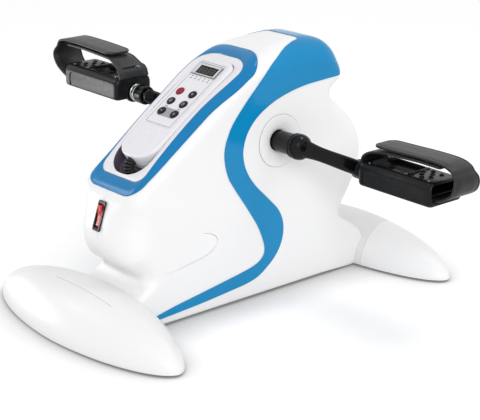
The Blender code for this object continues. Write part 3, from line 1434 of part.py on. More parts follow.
def main():
    halves = {"left": housing_half("housing_left", -1), "right": housing_half("housing_right", 1)}
    body_cut = body_solid("body_cut", GAP)
    for word, side in (("left", -1), ("right", 1)):
        band("band_" + word, side)
        crank_cover(word, side)
    bezel()
    tray()
    opening = strip_solid(
        "console_opening",
        [(panel_rows(0), level(-80 * MM)), (panel_rows(0), level(40 * MM))],
        console_point,
        WHITE,
    )
    as_cutter(opening)
    handset()
    route = [handset_point(0, s, h) for s, h in cord_route()]
    tube("handset_cord", route, CORD_RADIUS, RUBBER)
    frame, rocker, slot = switch()
    axis = drive()
    for side in (-1, 1):
        crank_side(side, axis)
    feet(body_cut)
    frame_pieces()
    through = 2 * BODY_HALF_WIDTH + 40 * MM
    crank_hole = rod("crank_hole", COVER_RADIUS - 2 * MM, through, (0, CRANK_Y, CRANK_Z), WHITE, segments=32)
    as_cutter(crank_hole)
    beam_slot = box(
        "beam_slot",
        (BEAM_WIDTH + 2 * GAP, REAR_FOOT_Y - FRONT_FOOT_Y, BEAM_HEIGHT + 2 * GAP),
        (0, (REAR_FOOT_Y + FRONT_FOOT_Y) / 2, BEAM_BOTTOM + BEAM_HEIGHT / 2),
        WHITE,
    )
    as_cutter(beam_slot)
    inlet = box(
        "power_inlet",
        (16 * MM, INLET_WIDTH, INLET_HEIGHT),
        (-(BODY_HALF_WIDTH + GAP - 8 * MM + 1.5 * MM), INLET_Y, INLET_Z),
        BLACK,
    )
    socket = box(
        "inlet_socket",
        (16 * MM, INLET_WIDTH - 8 * MM, INLET_HEIGHT - 8 * MM),
        (-(BODY_HALF_WIDTH + 4 * MM), INLET_Y, INLET_Z),
        BLACK,
    )
    boolean(inlet, as_cutter(socket))
    inlet_slot = box(
        "inlet_slot",
        (30 * MM, INLET_WIDTH + 2 * GAP, INLET_HEIGHT + 2 * GAP),
        (-BODY_HALF_WIDTH, INLET_Y, INLET_Z),
        WHITE,
    )
    as_cutter(inlet_slot)
    for half in halves.values():
        for cutter in (opening, crank_hole, slot, beam_slot):
            boolean(half, cutter)
    boolean(halves["left"], inlet_slot)


main()
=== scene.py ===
"""Looks for the motorised mini exercise bike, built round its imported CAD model.

The frame is the model's own: metres, +Z up, -Y is the console end, and the origin is on the floor
under the middle of the bike. Places in that frame are metres. Sizes in a part's own frame are
millimetres, and MM turns them into metres.
"""

import math

import bmesh
import bpy
import numpy as np
from mathutils import Euler, Matrix, Vector
from mathutils.bvhtree import BVHTree
from mathutils.geometry import delaunay_2d_cdt


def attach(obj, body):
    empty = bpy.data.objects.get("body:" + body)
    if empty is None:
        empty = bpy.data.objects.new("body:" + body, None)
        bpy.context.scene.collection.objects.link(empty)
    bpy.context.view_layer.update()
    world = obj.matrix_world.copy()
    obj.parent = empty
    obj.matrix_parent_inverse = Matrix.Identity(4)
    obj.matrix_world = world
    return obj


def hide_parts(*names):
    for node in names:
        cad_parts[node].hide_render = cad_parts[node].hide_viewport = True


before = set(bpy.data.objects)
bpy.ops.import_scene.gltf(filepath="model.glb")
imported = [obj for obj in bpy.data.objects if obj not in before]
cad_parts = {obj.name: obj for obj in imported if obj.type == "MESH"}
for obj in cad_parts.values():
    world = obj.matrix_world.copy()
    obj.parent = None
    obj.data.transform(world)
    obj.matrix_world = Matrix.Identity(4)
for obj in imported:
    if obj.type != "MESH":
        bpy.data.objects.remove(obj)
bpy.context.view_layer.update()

MM = 0.001
GAP = 0.3 * MM
SIDES = (("left", -1), ("right", 1))


# Objects and directions


def linked(name, data):
    """A camera, lamp or mesh as an object of the scene."""
    thing = bpy.data.objects.new(name, data)
    bpy.context.scene.collection.objects.link(thing)
    return thing


def meshed(name, points, faces, material):
    """A mesh object just as its points and faces say."""
    mesh = bpy.data.meshes.new(name)
    mesh.from_pydata([tuple(p) for p in points], [], faces)
    mesh.materials.append(material)
    return linked(name, mesh)


def bearing(azimuth, elevation):
    """The direction that a compass angle and a dip below the horizon give, in degrees."""
    a = math.radians(azimuth)
    e = math.radians(elevation)
    return Vector((-math.sin(a) * math.cos(e), math.cos(a) * math.cos(e), -math.sin(e)))


def facing(direction):
    """The rotation of a camera or lamp that looks along a direction."""
    return direction.to_track_quat("-Z", "Y").to_euler()


# Camera, floor and light


def look_through(azimuth, elevation, place, lens):
    """The photograph's camera."""
    data = bpy.data.cameras.new("camera")
    data.sensor_width = 36
    data.lens = lens
    data.clip_start = 0.01
    data.clip_end = 100
    camera = linked("camera", data)
    camera.location = place
    camera.rotation_euler = facing(bearing(azimuth, elevation))
    bpy.context.scene.camera = camera


look_through(azimuth=49.62, elevation=19.0, place=(1.3058, -1.0912, 0.6852), lens=108.98)


def math_node(tree, operation, first, second):
    """What a Math node makes of a socket and a second socket or number."""
    node = tree.nodes.new("ShaderNodeMath")
    node.operation = operation
    tree.links.new(first, node.inputs[0])
    if isinstance(second, float):
        node.inputs[1].default_value = second
    else:
        tree.links.new(second, node.inputs[1])
    return node.outputs[0]


def map_range(tree, value, low, high, start=0.0, end=1.0):
    """A socket's values from start to end, turned into values from low to high."""
    node = tree.nodes.new("ShaderNodeMapRange")
    for name, number in (("From Min", start), ("From Max", end), ("To Min", low), ("To Max", high)):
        node.inputs[name].default_value = number
    tree.links.new(value, node.inputs["Value"])
    return node.outputs[0]


def camera_mask(tree):
    """1 for rays that see the background: from the camera, or by way of gloss or glass."""
    rays = tree.nodes.new("ShaderNodeLightPath").outputs
    seen = math_node(tree, "MAXIMUM", rays["Is Camera Ray"], rays["Is Glossy Ray"])
    return math_node(tree, "MAXIMUM", seen, rays["Is Transmission Ray"])


def light_world(strength):
    """An even white studio: a strength of 1 where the background itself is seen."""
    world = bpy.data.worlds.new("studio")
    bpy.context.scene.world = world
    world.use_nodes = True
    tree = world.node_tree
    back = tree.nodes["Background"]
    back.inputs["Color"].default_value = (1, 1, 1, 1)
    shown = map_range(tree, camera_mask(tree), strength, 1.0)
    tree.links.new(shown, back.inputs["Strength"])


def floor_plane(lift, half, depth):
    """A pale floor that keeps the shadow, with painted shade close under the bike, and meets the background.
    """
    material = bpy.data.materials.new("floor_paper")
    material.use_nodes = True
    tree = material.node_tree
    shader = tree.nodes["Principled BSDF"]
    # Painted shade: ambient occlusion darkens the floor's colour close under the bike.
    near = tree.nodes.new("ShaderNodeAmbientOcclusion")
    near.samples = 12
    near.inputs["Distance"].default_value = 0.07
    near.inputs["Color"].default_value = (0.95, 0.95, 0.955, 1)
    tree.links.new(near.outputs["Color"], shader.inputs["Base Color"])
    shader.inputs["Roughness"].default_value = 0.85
    shader.inputs["Specular IOR Level"].default_value = 0.1
    shader.inputs["Emission Color"].default_value = (1, 1, 1, 1)
    glow = math_node(tree, "MULTIPLY", camera_mask(tree), lift)
    tree.links.new(glow, shader.inputs["Emission Strength"])
    corners = [(x * half, y * half, -depth) for x, y in ((-1, -1), (1, -1), (1, 1), (-1, 1))]
    meshed("floor", corners, [(0, 1, 2, 3)], material)


def sun(name, energy, angle, azimuth, elevation):
    data = bpy.data.lights.new(name, "SUN")
    data.energy = energy
    data.angle = math.radians(angle)
    linked(name, data).rotation_euler = facing(bearing(azimuth, elevation))


def softbox(name, power, size, place, target, gleam=False):
    """A lamp panel; a gleam is one that shows in reflections alone."""
    data = bpy.data.lights.new(name, "AREA")
    data.energy = power
    data.shape = "RECTANGLE"
    data.size, data.size_y = size
    lamp = linked(name, data)
    lamp.visible_diffuse = not gleam
    lamp.location = place
    lamp.rotation_euler = facing(Vector(target) - Vector(place))


bpy.context.scene.view_settings.view_transform = "Standard"
light_world(strength=0.66)
floor_plane(lift=0.17, half=9, depth=0.0002)
sun("key", energy=1.25, angle=34, azimuth=62, elevation=26)
softbox("low_box", 1.2, size=(0.34, 0.24), place=(-1.0, -0.85, 0.12), target=(0, -0.1, 0.2))
softbox("high_box", 1.5, size=(0.34, 0.3), place=(-0.95, -0.75, 0.95), target=(0, -0.1, 0.2))
softbox("top_box", 2.6, size=(0.36, 0.36), place=(0.4, 0.55, 1.35), target=(0.05, 0.03, 0.2))
softbox("side_gleam", 1.6, size=(0.5, 0.24), place=(-0.62, -0.4, 0.1), target=(-0.2, -0.03, 0.23), gleam=True)


# Materials


class Finish:
    """A Principled material with noise in its colour, roughness and surface, at real scale."""

    def __init__(self, name, colour, roughness, metallic, specular):
        self.material = bpy.data.materials.new(name)
        self.material.use_nodes = True
        self.material.diffuse_color = (*colour, 1)
        self.tree = self.material.node_tree
        self.shader = self.tree.nodes["Principled BSDF"]
        self.shader.inputs["Base Color"].default_value = (*colour, 1)
        self.shader.inputs["Roughness"].default_value = roughness
        self.shader.inputs["Metallic"].default_value = metallic
        self.shader.inputs["Specular IOR Level"].default_value = specular
        self.colour = colour
        self.place = self.tree.nodes.new("ShaderNodeTexCoord").outputs["Object"]

    def link(self, start, end):
        self.tree.links.new(start, end)

    def noise(self, size, detail, stretch=None):
        """Noise whose grains are about size millimetres across, drawn out by stretch."""
        vector = self.place
        if stretch:
            mapping = self.tree.nodes.new("ShaderNodeMapping")
            mapping.inputs["Scale"].default_value = stretch
            self.link(vector, mapping.inputs["Vector"])
            vector = mapping.outputs[0]
        node = self.tree.nodes.new("ShaderNodeTexNoise")
        node.inputs["Scale"].default_value = 1000 / size
        node.inputs["Detail"].default_value = detail
        self.link(vector, node.inputs["Vector"])
        return node.outputs["Fac"]

    def spread(self, value, low, high, start=0.3, end=0.7):
        return map_range(self.tree, value, low, high, start, end)

    def tint(self, factor, colour):
        """Mix another colour in by factor."""
        node = self.tree.nodes.new("ShaderNodeMix")
        node.data_type = "RGBA"
        socket = self.shader.inputs["Base Color"]
        if socket.is_linked:
            self.link(socket.links[0].from_socket, node.inputs["A"])
        else:
            node.inputs["A"].default_value = (*self.colour, 1)
        node.inputs["B"].default_value = (*colour, 1)
        self.link(factor, node.inputs["Factor"])
        self.link(node.outputs["Result"], socket)

    def mottle(self, size, share, stretch=None):
        """Patches a little darker than the rest."""
        dark = tuple(c * (1 - share) for c in self.colour)
        self.tint(self.spread(self.noise(size, 2, stretch), 0, 1), dark)

    def polish(self, size, low, high, stretch=None):
        """Roughness that wanders between two values."""
        value = self.spread(self.noise(size, 4, stretch), low, high)
        self.link(value, self.shader.inputs["Roughness"])

    def grain(self, size, depth, stretch=None):
        """A surface raised by noise, depth millimetres at most."""
        node = self.tree.nodes.new("ShaderNodeBump")
        node.inputs["Distance"].default_value = depth * MM
        self.link(self.noise(size, 3, stretch), node.inputs["Height"])
        socket = self.shader.inputs["Normal"]
        if socket.is_linked:
            self.link(socket.links[0].from_socket, node.inputs["Normal"])
        self.link(node.outputs[0], socket)

    def dust(self, colour, share):
        """A faint film of dust that settles on what faces up."""
        geometry = self.tree.nodes.new("ShaderNodeNewGeometry")
        parts = self.tree.nodes.new("ShaderNodeSeparateXYZ")
        self.link(geometry.outputs["Normal"], parts.inputs[0])
        up = self.spread(parts.outputs["Z"], 0, share, 0.5, 1.0)
        patches = self.spread(self.noise(14, 4), 0.3, 1)
        self.tint(math_node(self.tree, "MULTIPLY", up, patches), colour)


def finish(name, colour, roughness, mottle, polish, *grains, metallic=0.0, specular=0.5, dust=None):
    """A material with its patches, its polish, one grain or more and perhaps some dust."""
    made = Finish(name, colour, roughness, metallic, specular)
    made.mottle(*mottle)
    if polish:
        made.polish(*polish)
    for grain in grains:
        made.grain(*grain)
    if dust:
        made.dust(*dust)
    return made.material


def white_finish(name, colour, low, high):
    """Moulded plastic whose roughness lies between low and high."""
    return finish(name, colour, low, (90, 0.02), (40, low, high), (3.5, 0.012), (0.4, 0.0016), specular=0.35)


def blue_finish(name, colour):
    return finish(name, colour, 0.12, (70, 0.06), (50, 0.08, 0.16), (3.0, 0.01), (0.4, 0.001), specular=0.24)


def ink_finish(name, colour):
    return finish(name, colour, 0.45, (1.5, 0.12), (1, 0.4, 0.55), (0.3, 0.003))


WHITE = white_finish("white_shell", (0.865, 0.865, 0.87), 0.3, 0.38)
# Painted shade: a darker copy of the white shell for the rear foot's saddle.
SADDLE_PAINTED_SHADE = white_finish("saddle_painted_shade", (0.78, 0.78, 0.785), 0.32, 0.4)
PANEL = white_finish("console_white", (0.77, 0.765, 0.80), 0.24, 0.33)
# Painted shade: the dark colour inside the handset's pocket.
SCOOP_PAINTED_SHADE = white_finish("scoop_shadow", (0.085, 0.07, 0.095), 0.3, 0.42)
SEAM = finish("parting_line", (0.33, 0.33, 0.36), 0.6, (6, 0.2), None, (0.5, 0.01))

BLUE = blue_finish("blue_trim", (0.004, 0.24, 0.51))
# Painted shade: a deeper copy of the blue trim for the console rim, which is the same plastic.
RIM_BLUE_PAINTED_SHADE = blue_finish("rim_blue_painted_shade", (0.002, 0.185, 0.435))

BLACK = finish(
    "black_plastic", (0.006, 0.006, 0.0064), 0.32, (25, 0.3), (6, 0.26, 0.36), (0.9, 0.01), (0.25, 0.005),
    specular=0.2, dust=((0.03, 0.03, 0.031), 0.07),
)
STRAP = finish(
    "strap_rubber", (0.012, 0.012, 0.0125), 0.42, (12, 0.25, (1, 4, 1)), (4, 0.36, 0.5, (1, 6, 1)),
    (1.1, 0.05, (1, 5, 1)), (0.3, 0.02), specular=0.36, dust=((0.07, 0.07, 0.072), 0.3),
)
RUBBER = finish("black_rubber", (0.02, 0.02, 0.021), 0.7, (8, 0.3), (3, 0.6, 0.82), (0.7, 0.05), (0.2, 0.02))
BUTTON = finish(
    "button_rubber", (0.007, 0.007, 0.010), 0.3, (3, 0.25), (1.5, 0.28, 0.42), (0.4, 0.012), specular=0.16
)

PAINTED = finish(
    "black_painted_steel", (0.004, 0.004, 0.0044), 0.2, (30, 0.3), (12, 0.13, 0.22),
    (1.6, 0.012), (0.35, 0.003), specular=0.2,
)
STEEL = finish(
    "bare_steel", (0.55, 0.56, 0.58), 0.3, (9, 0.15), (3, 0.22, 0.42, (1, 1, 8)),
    (0.5, 0.006, (1, 1, 12)), metallic=1.0,
)
CHROME = finish("chrome", (0.42, 0.43, 0.44), 0.2, (6, 0.3), (2, 0.14, 0.34), (0.8, 0.02), metallic=1.0)

RED = finish(
    "red_plastic", (0.27, 0.014, 0.028), 0.25, (5, 0.15), (3, 0.2, 0.34), (0.6, 0.008), specular=0.16
)
SWITCH_RED = finish(
    "switch_red", (0.58, 0.015, 0.012), 0.2, (6, 0.12), (4, 0.12, 0.22), (0.9, 0.006), specular=0.3
)
GREY = finish("grey_frame", (0.15, 0.145, 0.17), 0.35, (8, 0.12), (3, 0.28, 0.42), (0.5, 0.008))
SILVER = finish("silver_line", (0.62, 0.62, 0.66), 0.3, (5, 0.1), (2, 0.25, 0.38), (0.4, 0.006))
GLASS = finish(
    "dark_window", (0.008, 0.008, 0.009), 0.08, (5, 0.2), (6, 0.04, 0.1), (4, 0.003), specular=0.14
)
BOARD = finish("circuit_board", (0.02, 0.13, 0.06), 0.45, (3, 0.35), (2, 0.35, 0.55), (0.8, 0.02))
DIGITS = finish(
    "display_digits", (0.22, 0.2, 0.17), 0.35, (1.2, 0.2), (1, 0.3, 0.45), (0.3, 0.003), specular=0.2
)

INK = ink_finish("white_ink", (0.5, 0.5, 0.52))
GREY_INK = ink_finish("grey_ink", (0.03, 0.03, 0.04))
# Grey for printed marks and the foot's parting line; along the belly's lip it is painted shade.
GREY_MARK_AND_SHADE = ink_finish("grey_mark_and_painted_shade", (0.33, 0.33, 0.38))


# Meshes


def piece(name, points, faces, material, angle=32):
    """A mesh object with its faces turned outwards, smooth but for its real edges."""
    thing = meshed(name, points, faces, material)
    work = bmesh.new()
    work.from_mesh(thing.data)
    bmesh.ops.remove_doubles(work, verts=work.verts, dist=0.000002)
    bmesh.ops.delete(work, geom=[edge for edge in work.edges if not edge.link_faces], context="EDGES")
    bmesh.ops.recalc_face_normals(work, faces=work.faces)
    work.to_mesh(thing.data)
    work.free()
    smooth(thing, angle)
    return thing


def smooth(thing, angle=32):
    thing.data.shade_smooth()
    thing.data.set_sharp_from_angle(angle=math.radians(angle))


def boolean(target, cutters, operation="DIFFERENCE"):
    for cutter in cutters:
        step = target.modifiers.new(operation.title(), "BOOLEAN")
        step.object = cutter
        step.operation = operation
        step.solver = "EXACT"
        cutter.hide_render = True


def settle(thing, angle=32):
    """Apply the modifiers and shade the result."""
    bpy.context.view_layer.update()
    shape = thing.evaluated_get(bpy.context.evaluated_depsgraph_get())
    mesh = bpy.data.meshes.new_from_object(shape)
    mesh.name = thing.name
    thing.modifiers.clear()
    thing.data = mesh
    smooth(thing, angle)


def drop(things):
    for thing in things:
        bpy.data.objects.remove(thing)


def carve(target, cutters, angle=32, operation="DIFFERENCE"):
    """Cut some pieces out of a target, or join them to it, and drop them."""
    boolean(target, cutters, operation)
    settle(target, angle)
    drop(cutters)


def bevel(target, width, segments=3, angle=35):
    """Round a part's edges, by a width in millimetres."""
    step = target.modifiers.new("Bevel", "BEVEL")
    step.width = width * MM
    step.segments = segments
    step.limit_method = "ANGLE"
    step.angle_limit = math.radians(angle)
    step.use_clamp_overlap = True
    settle(target)


def thicken(thing):
    """Give a skin its wall, inwards."""
    step = thing.modifiers.new("Solidify", "SOLIDIFY")
    step.thickness = WALL
    step.offset = -1


def seat(thing, body, slot, *nodes):
    """Ride on a body and stand for CAD nodes; the slot is not used."""
    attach(thing, body)
    if nodes:
        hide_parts(*nodes)


def flat_list(loops):
    return [point for loop in loops for point in loop]


def bridge(loops, around=False):
    """Quads between loops of the same length, and from the last loop to the first if around."""
    count = len(loops[0])
    total = count * len(loops)
    faces = []
    for j in range(len(loops) if around else len(loops) - 1):
        for i in range(count):
            a = j * count + i
            b = j * count + (i + 1) % count
            faces.append((a, b, (b + count) % total, (a + count) % total))
    return faces


def loft(name, loops, material, angle=32):
    """A solid through loops of points, its two ends closed."""
    count = len(loops[0])
    total = count * len(loops)
    faces = bridge(loops)
    faces.append(tuple(range(count)))
    faces.append(tuple(range(total - count, total)))
    return piece(name, flat_list(loops), faces, material, angle)


def hoop(name, loops, material):
    """A ring through loops of points, the last one joined to the first."""
    return piece(name, flat_list(loops), bridge(loops, around=True), material)


def at(place, x, y, z):
    """Where a point in millimetres lies in a part's own frame."""
    return place @ (Vector((x, y, z)) * MM)


def full_turn(steps):
    """Even angles once round."""
    return [2 * math.pi * k / steps for k in range(steps)]


def quarter(steps):
    """A rounded edge of radius 1: how far in from the side and down from the top each point lies."""
    turns = [math.pi / 2 * k / steps for k in range(steps + 1)]
    return [(1 - math.cos(a), 1 - math.sin(a)) for a in turns]


def heading(path, i):
    """Which way a path of (a, b) or more runs at its point i."""
    before = path[max(i - 1, 0)]
    after = path[min(i + 1, len(path) - 1)]
    return Vector((after[0] - before[0], after[1] - before[1])).normalized()


def block(name, size, centre, material, rotation=(0, 0, 0)):
    """A box of a size in millimetres round a place, for bevelling and cutting."""
    x, y, z = (value / 2 * MM for value in size)
    turn = Matrix.Translation(centre) @ Euler(rotation).to_matrix().to_4x4()
    corners = ((-x, -y), (x, -y), (x, y), (-x, y))
    return loft(name, [[turn @ Vector((a, b, h)) for a, b in corners] for h in (-z, z)], material)


def turned(name, profile, place, material, steps):
    """A closed profile of (radius, height) in millimetres, spun about a frame's Z."""
    loops = []
    for a in full_turn(steps):
        loops.append([at(place, r * math.cos(a), r * math.sin(a), h) for r, h in profile])
    return hoop(name, loops, material)


def along_x(centre, side=1):
    """A frame at centre whose Z runs outboard."""
    turn = Matrix.Rotation(side * math.pi / 2, 4, "Y")
    return Matrix.Translation(centre) @ turn


def rounded(profile, radius=0.0, steps=4):
    """A closed profile with its corners rounded: each point is (a, b) or (a, b, its own radius)."""
    result = []
    count = len(profile)
    for i, point in enumerate(profile):
        here = Vector(point[:2])
        size = point[2] if len(point) > 2 else radius
        before = Vector(profile[i - 1][:2]) - here
        after = Vector(profile[(i + 1) % count][:2]) - here
        half = before.angle(after) / 2
        if half > math.pi / 2 - 0.05:
            result.append(tuple(here))
            continue
        reach = min(size / math.tan(half), before.length * 0.45, after.length * 0.45)
        first = here + before.normalized() * reach
        last = here + after.normalized() * reach
        for k in range(steps + 1):
            t = k / steps
            result.append(tuple(first * (1 - t) ** 2 + here * 2 * t * (1 - t) + last * t**2))
    return result


def open_curve(points, steps):
    """A smooth open curve through points of any size."""
    first = tuple(2 * a - b for a, b in zip(points[0], points[1]))
    last = tuple(2 * a - b for a, b in zip(points[-1], points[-2]))
    padded = [first, *points, last]
    result = []
    for quad in zip(padded, padded[1:], padded[2:], padded[3:]):
        for k in range(steps):
            t = k / steps
            value = []
            for a, b, c, d in zip(*quad):
                cubic = (2 * a - 5 * b + 4 * c - d) * t**2 + (3 * b - a - 3 * c + d) * t**3
                value.append(0.5 * (2 * b + (c - a) * t + cubic))
            result.append(tuple(value))
    result.append(tuple(points[-1]))
    return result


def smooth_step(value):
    t = min(max(value, 0), 1)
    return t * t * (3 - 2 * t)


# Body shell and blue trim


HALF = 54 * MM
WALL = 2.5 * MM
LOW = 3
# The body's side outline, as (y, z, edge radius)
OUTLINE = (
    (-168, LOW + 1, 3), (-173, LOW + 9, 4), (-176, 27, 5), (-180.5, 35, 3.2), (-180.5, 40.5, 2.6),
    (-175, 43.6, 4),
    (-169.5, 47.2, 7), (-166, 53, 12), (-164, 61, 22), (-171, 69, 26), (-186, 81, 29), (-195, 98, 36),
    (-196.6, 116, 40), (-193, 132, 40), (-187.5, 146, 32), (-182.5, 158, 20), (-175, 167.1, 13),
    (-138.6, 193.0, 12), (-80, 234.7, 12), (-22, 276, 13), (0, 290.6, 16), (17, 299.6, 21), (36, 305.4, 28),
    (60, 308.4, 32), (85, 309.4, 33), (106, 307.6, 32), (121, 302.5, 28), (132, 292.5, 24), (139, 278.5, 20),
    (141.8, 265, 14), (138.5, 254.5, 9.5), (130.5, 247.8, 10.5), (124.6, 240.5, 12), (127.5, 231.5, 13),
    (139.5, 222, 16), (157, 208.5, 20), (173, 191.5, 22), (182.5, 171, 22), (184.5, 149, 22), (178, 125, 22),
    (164, 103, 20), (150.5, 86, 17), (146, 75, 14), (153, 66.5, 11), (167, 57.5, 9), (180, 46, 8),
    (187.5, 33, 7), (188.5, 20, 6), (184.5, LOW + 4, 4), (178, LOW, 3), (110, LOW, 3), (20, LOW, 3),
    (-70, LOW, 3), (-150, LOW, 3),
)
# The blue trim's two edges on the flank, as (y, z)
BAND_FRONT_EDGE = (
    (-157.2, 16.4), (-127.6, 22.2), (-89.8, 28.0), (-51.1, 34.0), (-24.2, 38.4), (-6.5, 42.0),
    (4.8, 46.8), (11.1, 53.3), (12.5, 61.6), (9.5, 73.5), (0.5, 93.7), (-17.1, 120.9),
    (-32.8, 143.6), (-44.4, 162.5), (-50.1, 182.5), (-50.2, 198.4), (-46.0, 212.0), (-37.4, 227.8),
    (-18.9, 248.7), (1.1, 268.3), (19.7, 286.0), (35.0, 294.8), (52.0, 302.2), (70.0, 306.6), (86.0, 308.6),
)
BAND_REAR_EDGE = (
    (-152.9, 11.5), (-120.3, 13.2), (-82.3, 15.7), (-43.3, 19.3), (-16.1, 22.2), (1.7, 26.9),
    (16.3, 35.7), (30.2, 47.5), (39.2, 61.5), (43.0, 76.7), (41.5, 92.3), (33.7, 107.8),
    (17.2, 125.2), (-2.1, 144.6), (-14.1, 161.2), (-20.8, 177.8), (-21.6, 195.0), (-14.6, 213.8),
    (1.2, 230.6), (24.8, 243.6), (52.0, 252.0), (78.1, 256.4), (104.6, 258.2), (128.0, 259.4), (139.0, 260.0),
)
# The belly's lower lip on the flank, as (y, z), from the waist to its hooked end
LIP = (
    (-165, 70.6), (-152, 67.6), (-140.9, 66.0), (-129, 66.4), (-118.8, 67.7), (-107, 69.6), (-96.3, 71.4),
    (-86, 73.0), (-77.3, 75.4), (-70, 78.9), (-64.8, 83.6), (-62.4, 88.6), (-64.1, 93.6), (-69.4, 97.8),
    (-77.8, 100.7), (-84.6, 102.3),
)


def closed_curve(points, steps):
    """A smooth closed curve through points, as the CAD source draws it."""
    result = []
    count = len(points)
    for i in range(count):
        p0, p1, p2, p3 = (points[(i + k - 1) % count] for k in range(4))
        d1 = math.dist(p1[:2], p0[:2]) ** 0.5
        d2 = math.dist(p2[:2], p1[:2]) ** 0.5
        d3 = math.dist(p3[:2], p2[:2]) ** 0.5
        for k in range(steps):
            t = k / steps
            value = []
            for a0, a1, a2, a3 in zip(p0, p1, p2, p3):
                m1 = d2 * ((a1 - a0) / d1 - (a2 - a0) / (d1 + d2) + (a2 - a1) / d2)
                m2 = d2 * ((a2 - a1) / d2 - (a3 - a1) / (d2 + d3) + (a3 - a2) / d3)
                ends = (2 * t**3 - 3 * t**2 + 1) * a1 + (3 * t**2 - 2 * t**3) * a2
                value.append(ends + (t**3 - 2 * t**2 + t) * m1 + (t**3 - t**2) * m2)
            result.append(tuple(value))
    return result


def body_outline(steps):
    """Outline samples of (y, z, edge radius, outward y, outward z), in metres."""
    curve = closed_curve(OUTLINE, steps)
    samples = []
    for i, (y, z, r) in enumerate(curve):
        before = curve[i - 1]
        after = curve[(i + 1) % len(curve)]
        along = Vector((after[0] - before[0], after[1] - before[1])).normalized()
        samples.append((y * MM, z * MM, r * MM, -along.y, along.x))
    return samples


def skin_loop(samples, angle, lift):
    """The skin where its edge rounding has turned by angle, from 0 at the crown."""
    loop = []
    for y, z, r, ny, nz in samples:
        off = (r + lift) * math.cos(angle) - r
        x = HALF - r + (r + lift) * math.sin(angle)
        loop.append(Vector((x, y + ny * off, z + nz * off)))
    return loop


BODY_SAMPLES = body_outline(6)
EDGE_STEPS = 10


def skin_loops(lift, start):
    """Loops from the split plane out over the rounded edge to the flat flank."""
    loops = [[Vector((start, p.y, p.z)) for p in skin_loop(BODY_SAMPLES, 0, lift)]]
    for k in range(EDGE_STEPS + 1):
        loops.append(skin_loop(BODY_SAMPLES, math.pi / 2 * k / EDGE_STEPS, lift))
    return loops


LIP_LINE = np.array(open_curve(LIP, 8)) * MM
# Across the lip: its step, its depth at the waist and what it gains further on, and how far up the
# flank the belly falls back. Along it: the shares of its length over which it starts and ends.
LIP_STEP = 1.2 * MM
LIP_DEPTH = 0.95 * MM
LIP_GAIN = 0.5 * MM
BELLY_REACH = 26 * MM
LIP_START = 0.12
LIP_END = 0.22


def lip_relief(y, z):
    """How far the belly stands out over its lower lip at a place on the flank."""
    ends = LIP_LINE[1:] - LIP_LINE[:-1]
    rel = np.array((y, z)) - LIP_LINE[:-1]
    t = np.clip((rel * ends).sum(1) / (ends**2).sum(1), 0, 1)
    away = rel - ends * t[:, None]
    distance = np.hypot(away[:, 0], away[:, 1])
    k = int(distance.argmin())
    across = ends[k][0] * rel[k][1] - ends[k][1] * rel[k][0]
    d = math.copysign(distance[k], across)
    place = (k + t[k]) / len(ends)
    fade = smooth_step(place / LIP_START) * smooth_step((1 - place) / LIP_END)
    rise = smooth_step(d / LIP_STEP + 0.5)
    fall = 1 - smooth_step(max(d, 0) / BELLY_REACH)
    depth = LIP_DEPTH + LIP_GAIN * smooth_step((place - 0.4) / 0.3)
    return depth * fade * rise * fall


def inside(points, loop):
    """Which points lie in a closed loop, by crossings."""
    y0, z0 = loop[:, 0], loop[:, 1]
    y1, z1 = np.roll(y0, -1), np.roll(z0, -1)
    result = np.zeros(len(points), bool)
    for a, b, c, d in zip(y0, z0, y1, z1):
        if b == d:
            continue
        crosses = (b > points[:, 1]) != (d > points[:, 1])
        met = a + (points[:, 1] - b) * (c - a) / (d - b)
        result ^= crosses & (points[:, 0] < met)
    return result


def flank_points(loop):
    """Inner points of the flank: an even grid, with rows that follow the lip."""
    line = open_curve(LIP, 5)
    spacing = 8.0
    lip_margin = 11 * MM
    edge_margin = 2.5 * MM
    rows = []
    for i, (y, z) in enumerate(line):
        along = heading(line, i)
        for d in (-2.2, -0.8, -0.4, 0, 0.4, 0.8, 2.2, 5, 9):
            rows.append((y - along.y * d, z + along.x * d))
    rows = np.array(rows) * MM
    heights = np.arange(6, 310, spacing)
    grid = np.array([(y, z) for y in np.arange(-190, 190, spacing) for z in heights]) * MM
    near = np.array([np.hypot(*(LIP_LINE - p).T).min() for p in grid])
    grid = grid[near > lip_margin]
    found = np.concatenate([rows, grid])
    flat = np.array([(p.y, p.z) for p in loop])
    found = found[inside(found, flat)]
    clear = np.array([np.hypot(*(flat - p).T).min() for p in found])
    return found[clear > edge_margin]


def housing_half(word, side, cutters):
    """One half of the body: a dense skin with its lip, thickened inwards and cut."""
    loops = skin_loops(0, GAP / 2)
    edge = loops[-1]
    count = len(edge)
    last = (len(loops) - 1) * count
    flat = [Vector((p.y, p.z)) for p in edge] + [Vector(p) for p in flank_points(edge)]
    ring = [(i, (i + 1) % count) for i in range(count)]
    made, _, triangles, origin, _, _ = delaunay_2d_cdt(flat, ring, [], 1, 1e-7)
    points = flat_list(loops)
    index = []
    for place, sources in zip(made, origin):
        source = min(sources) if sources else -1
        if 0 <= source < count:
            index.append(last + source)
        else:
            index.append(len(points))
            points.append(Vector((HALF, place.x, place.y)))
    faces = bridge(loops) + [tuple(index[i] for i in face) for face in triangles]
    blend = 8 * MM
    for p in points:
        if p.x > HALF - blend:
            p.x += lip_relief(p.y, p.z) * smooth_step((p.x - HALF + blend) / blend)
        p.x *= side
    thing = meshed("shell_" + word, points, faces, WHITE)
    work = bmesh.new()
    work.from_mesh(thing.data)
    bmesh.ops.recalc_face_normals(work, faces=work.faces)
    middle = max(work.faces, key=lambda face: abs(face.calc_center_median().x))
    if middle.normal.x * side < 0:
        bmesh.ops.reverse_faces(work, faces=work.faces)
    work.to_mesh(thing.data)
    work.free()
    thicken(thing)
    boolean(thing, cutters)
    settle(thing, 28)
    seat(thing, "base", "white_shell", "housing_" + word)


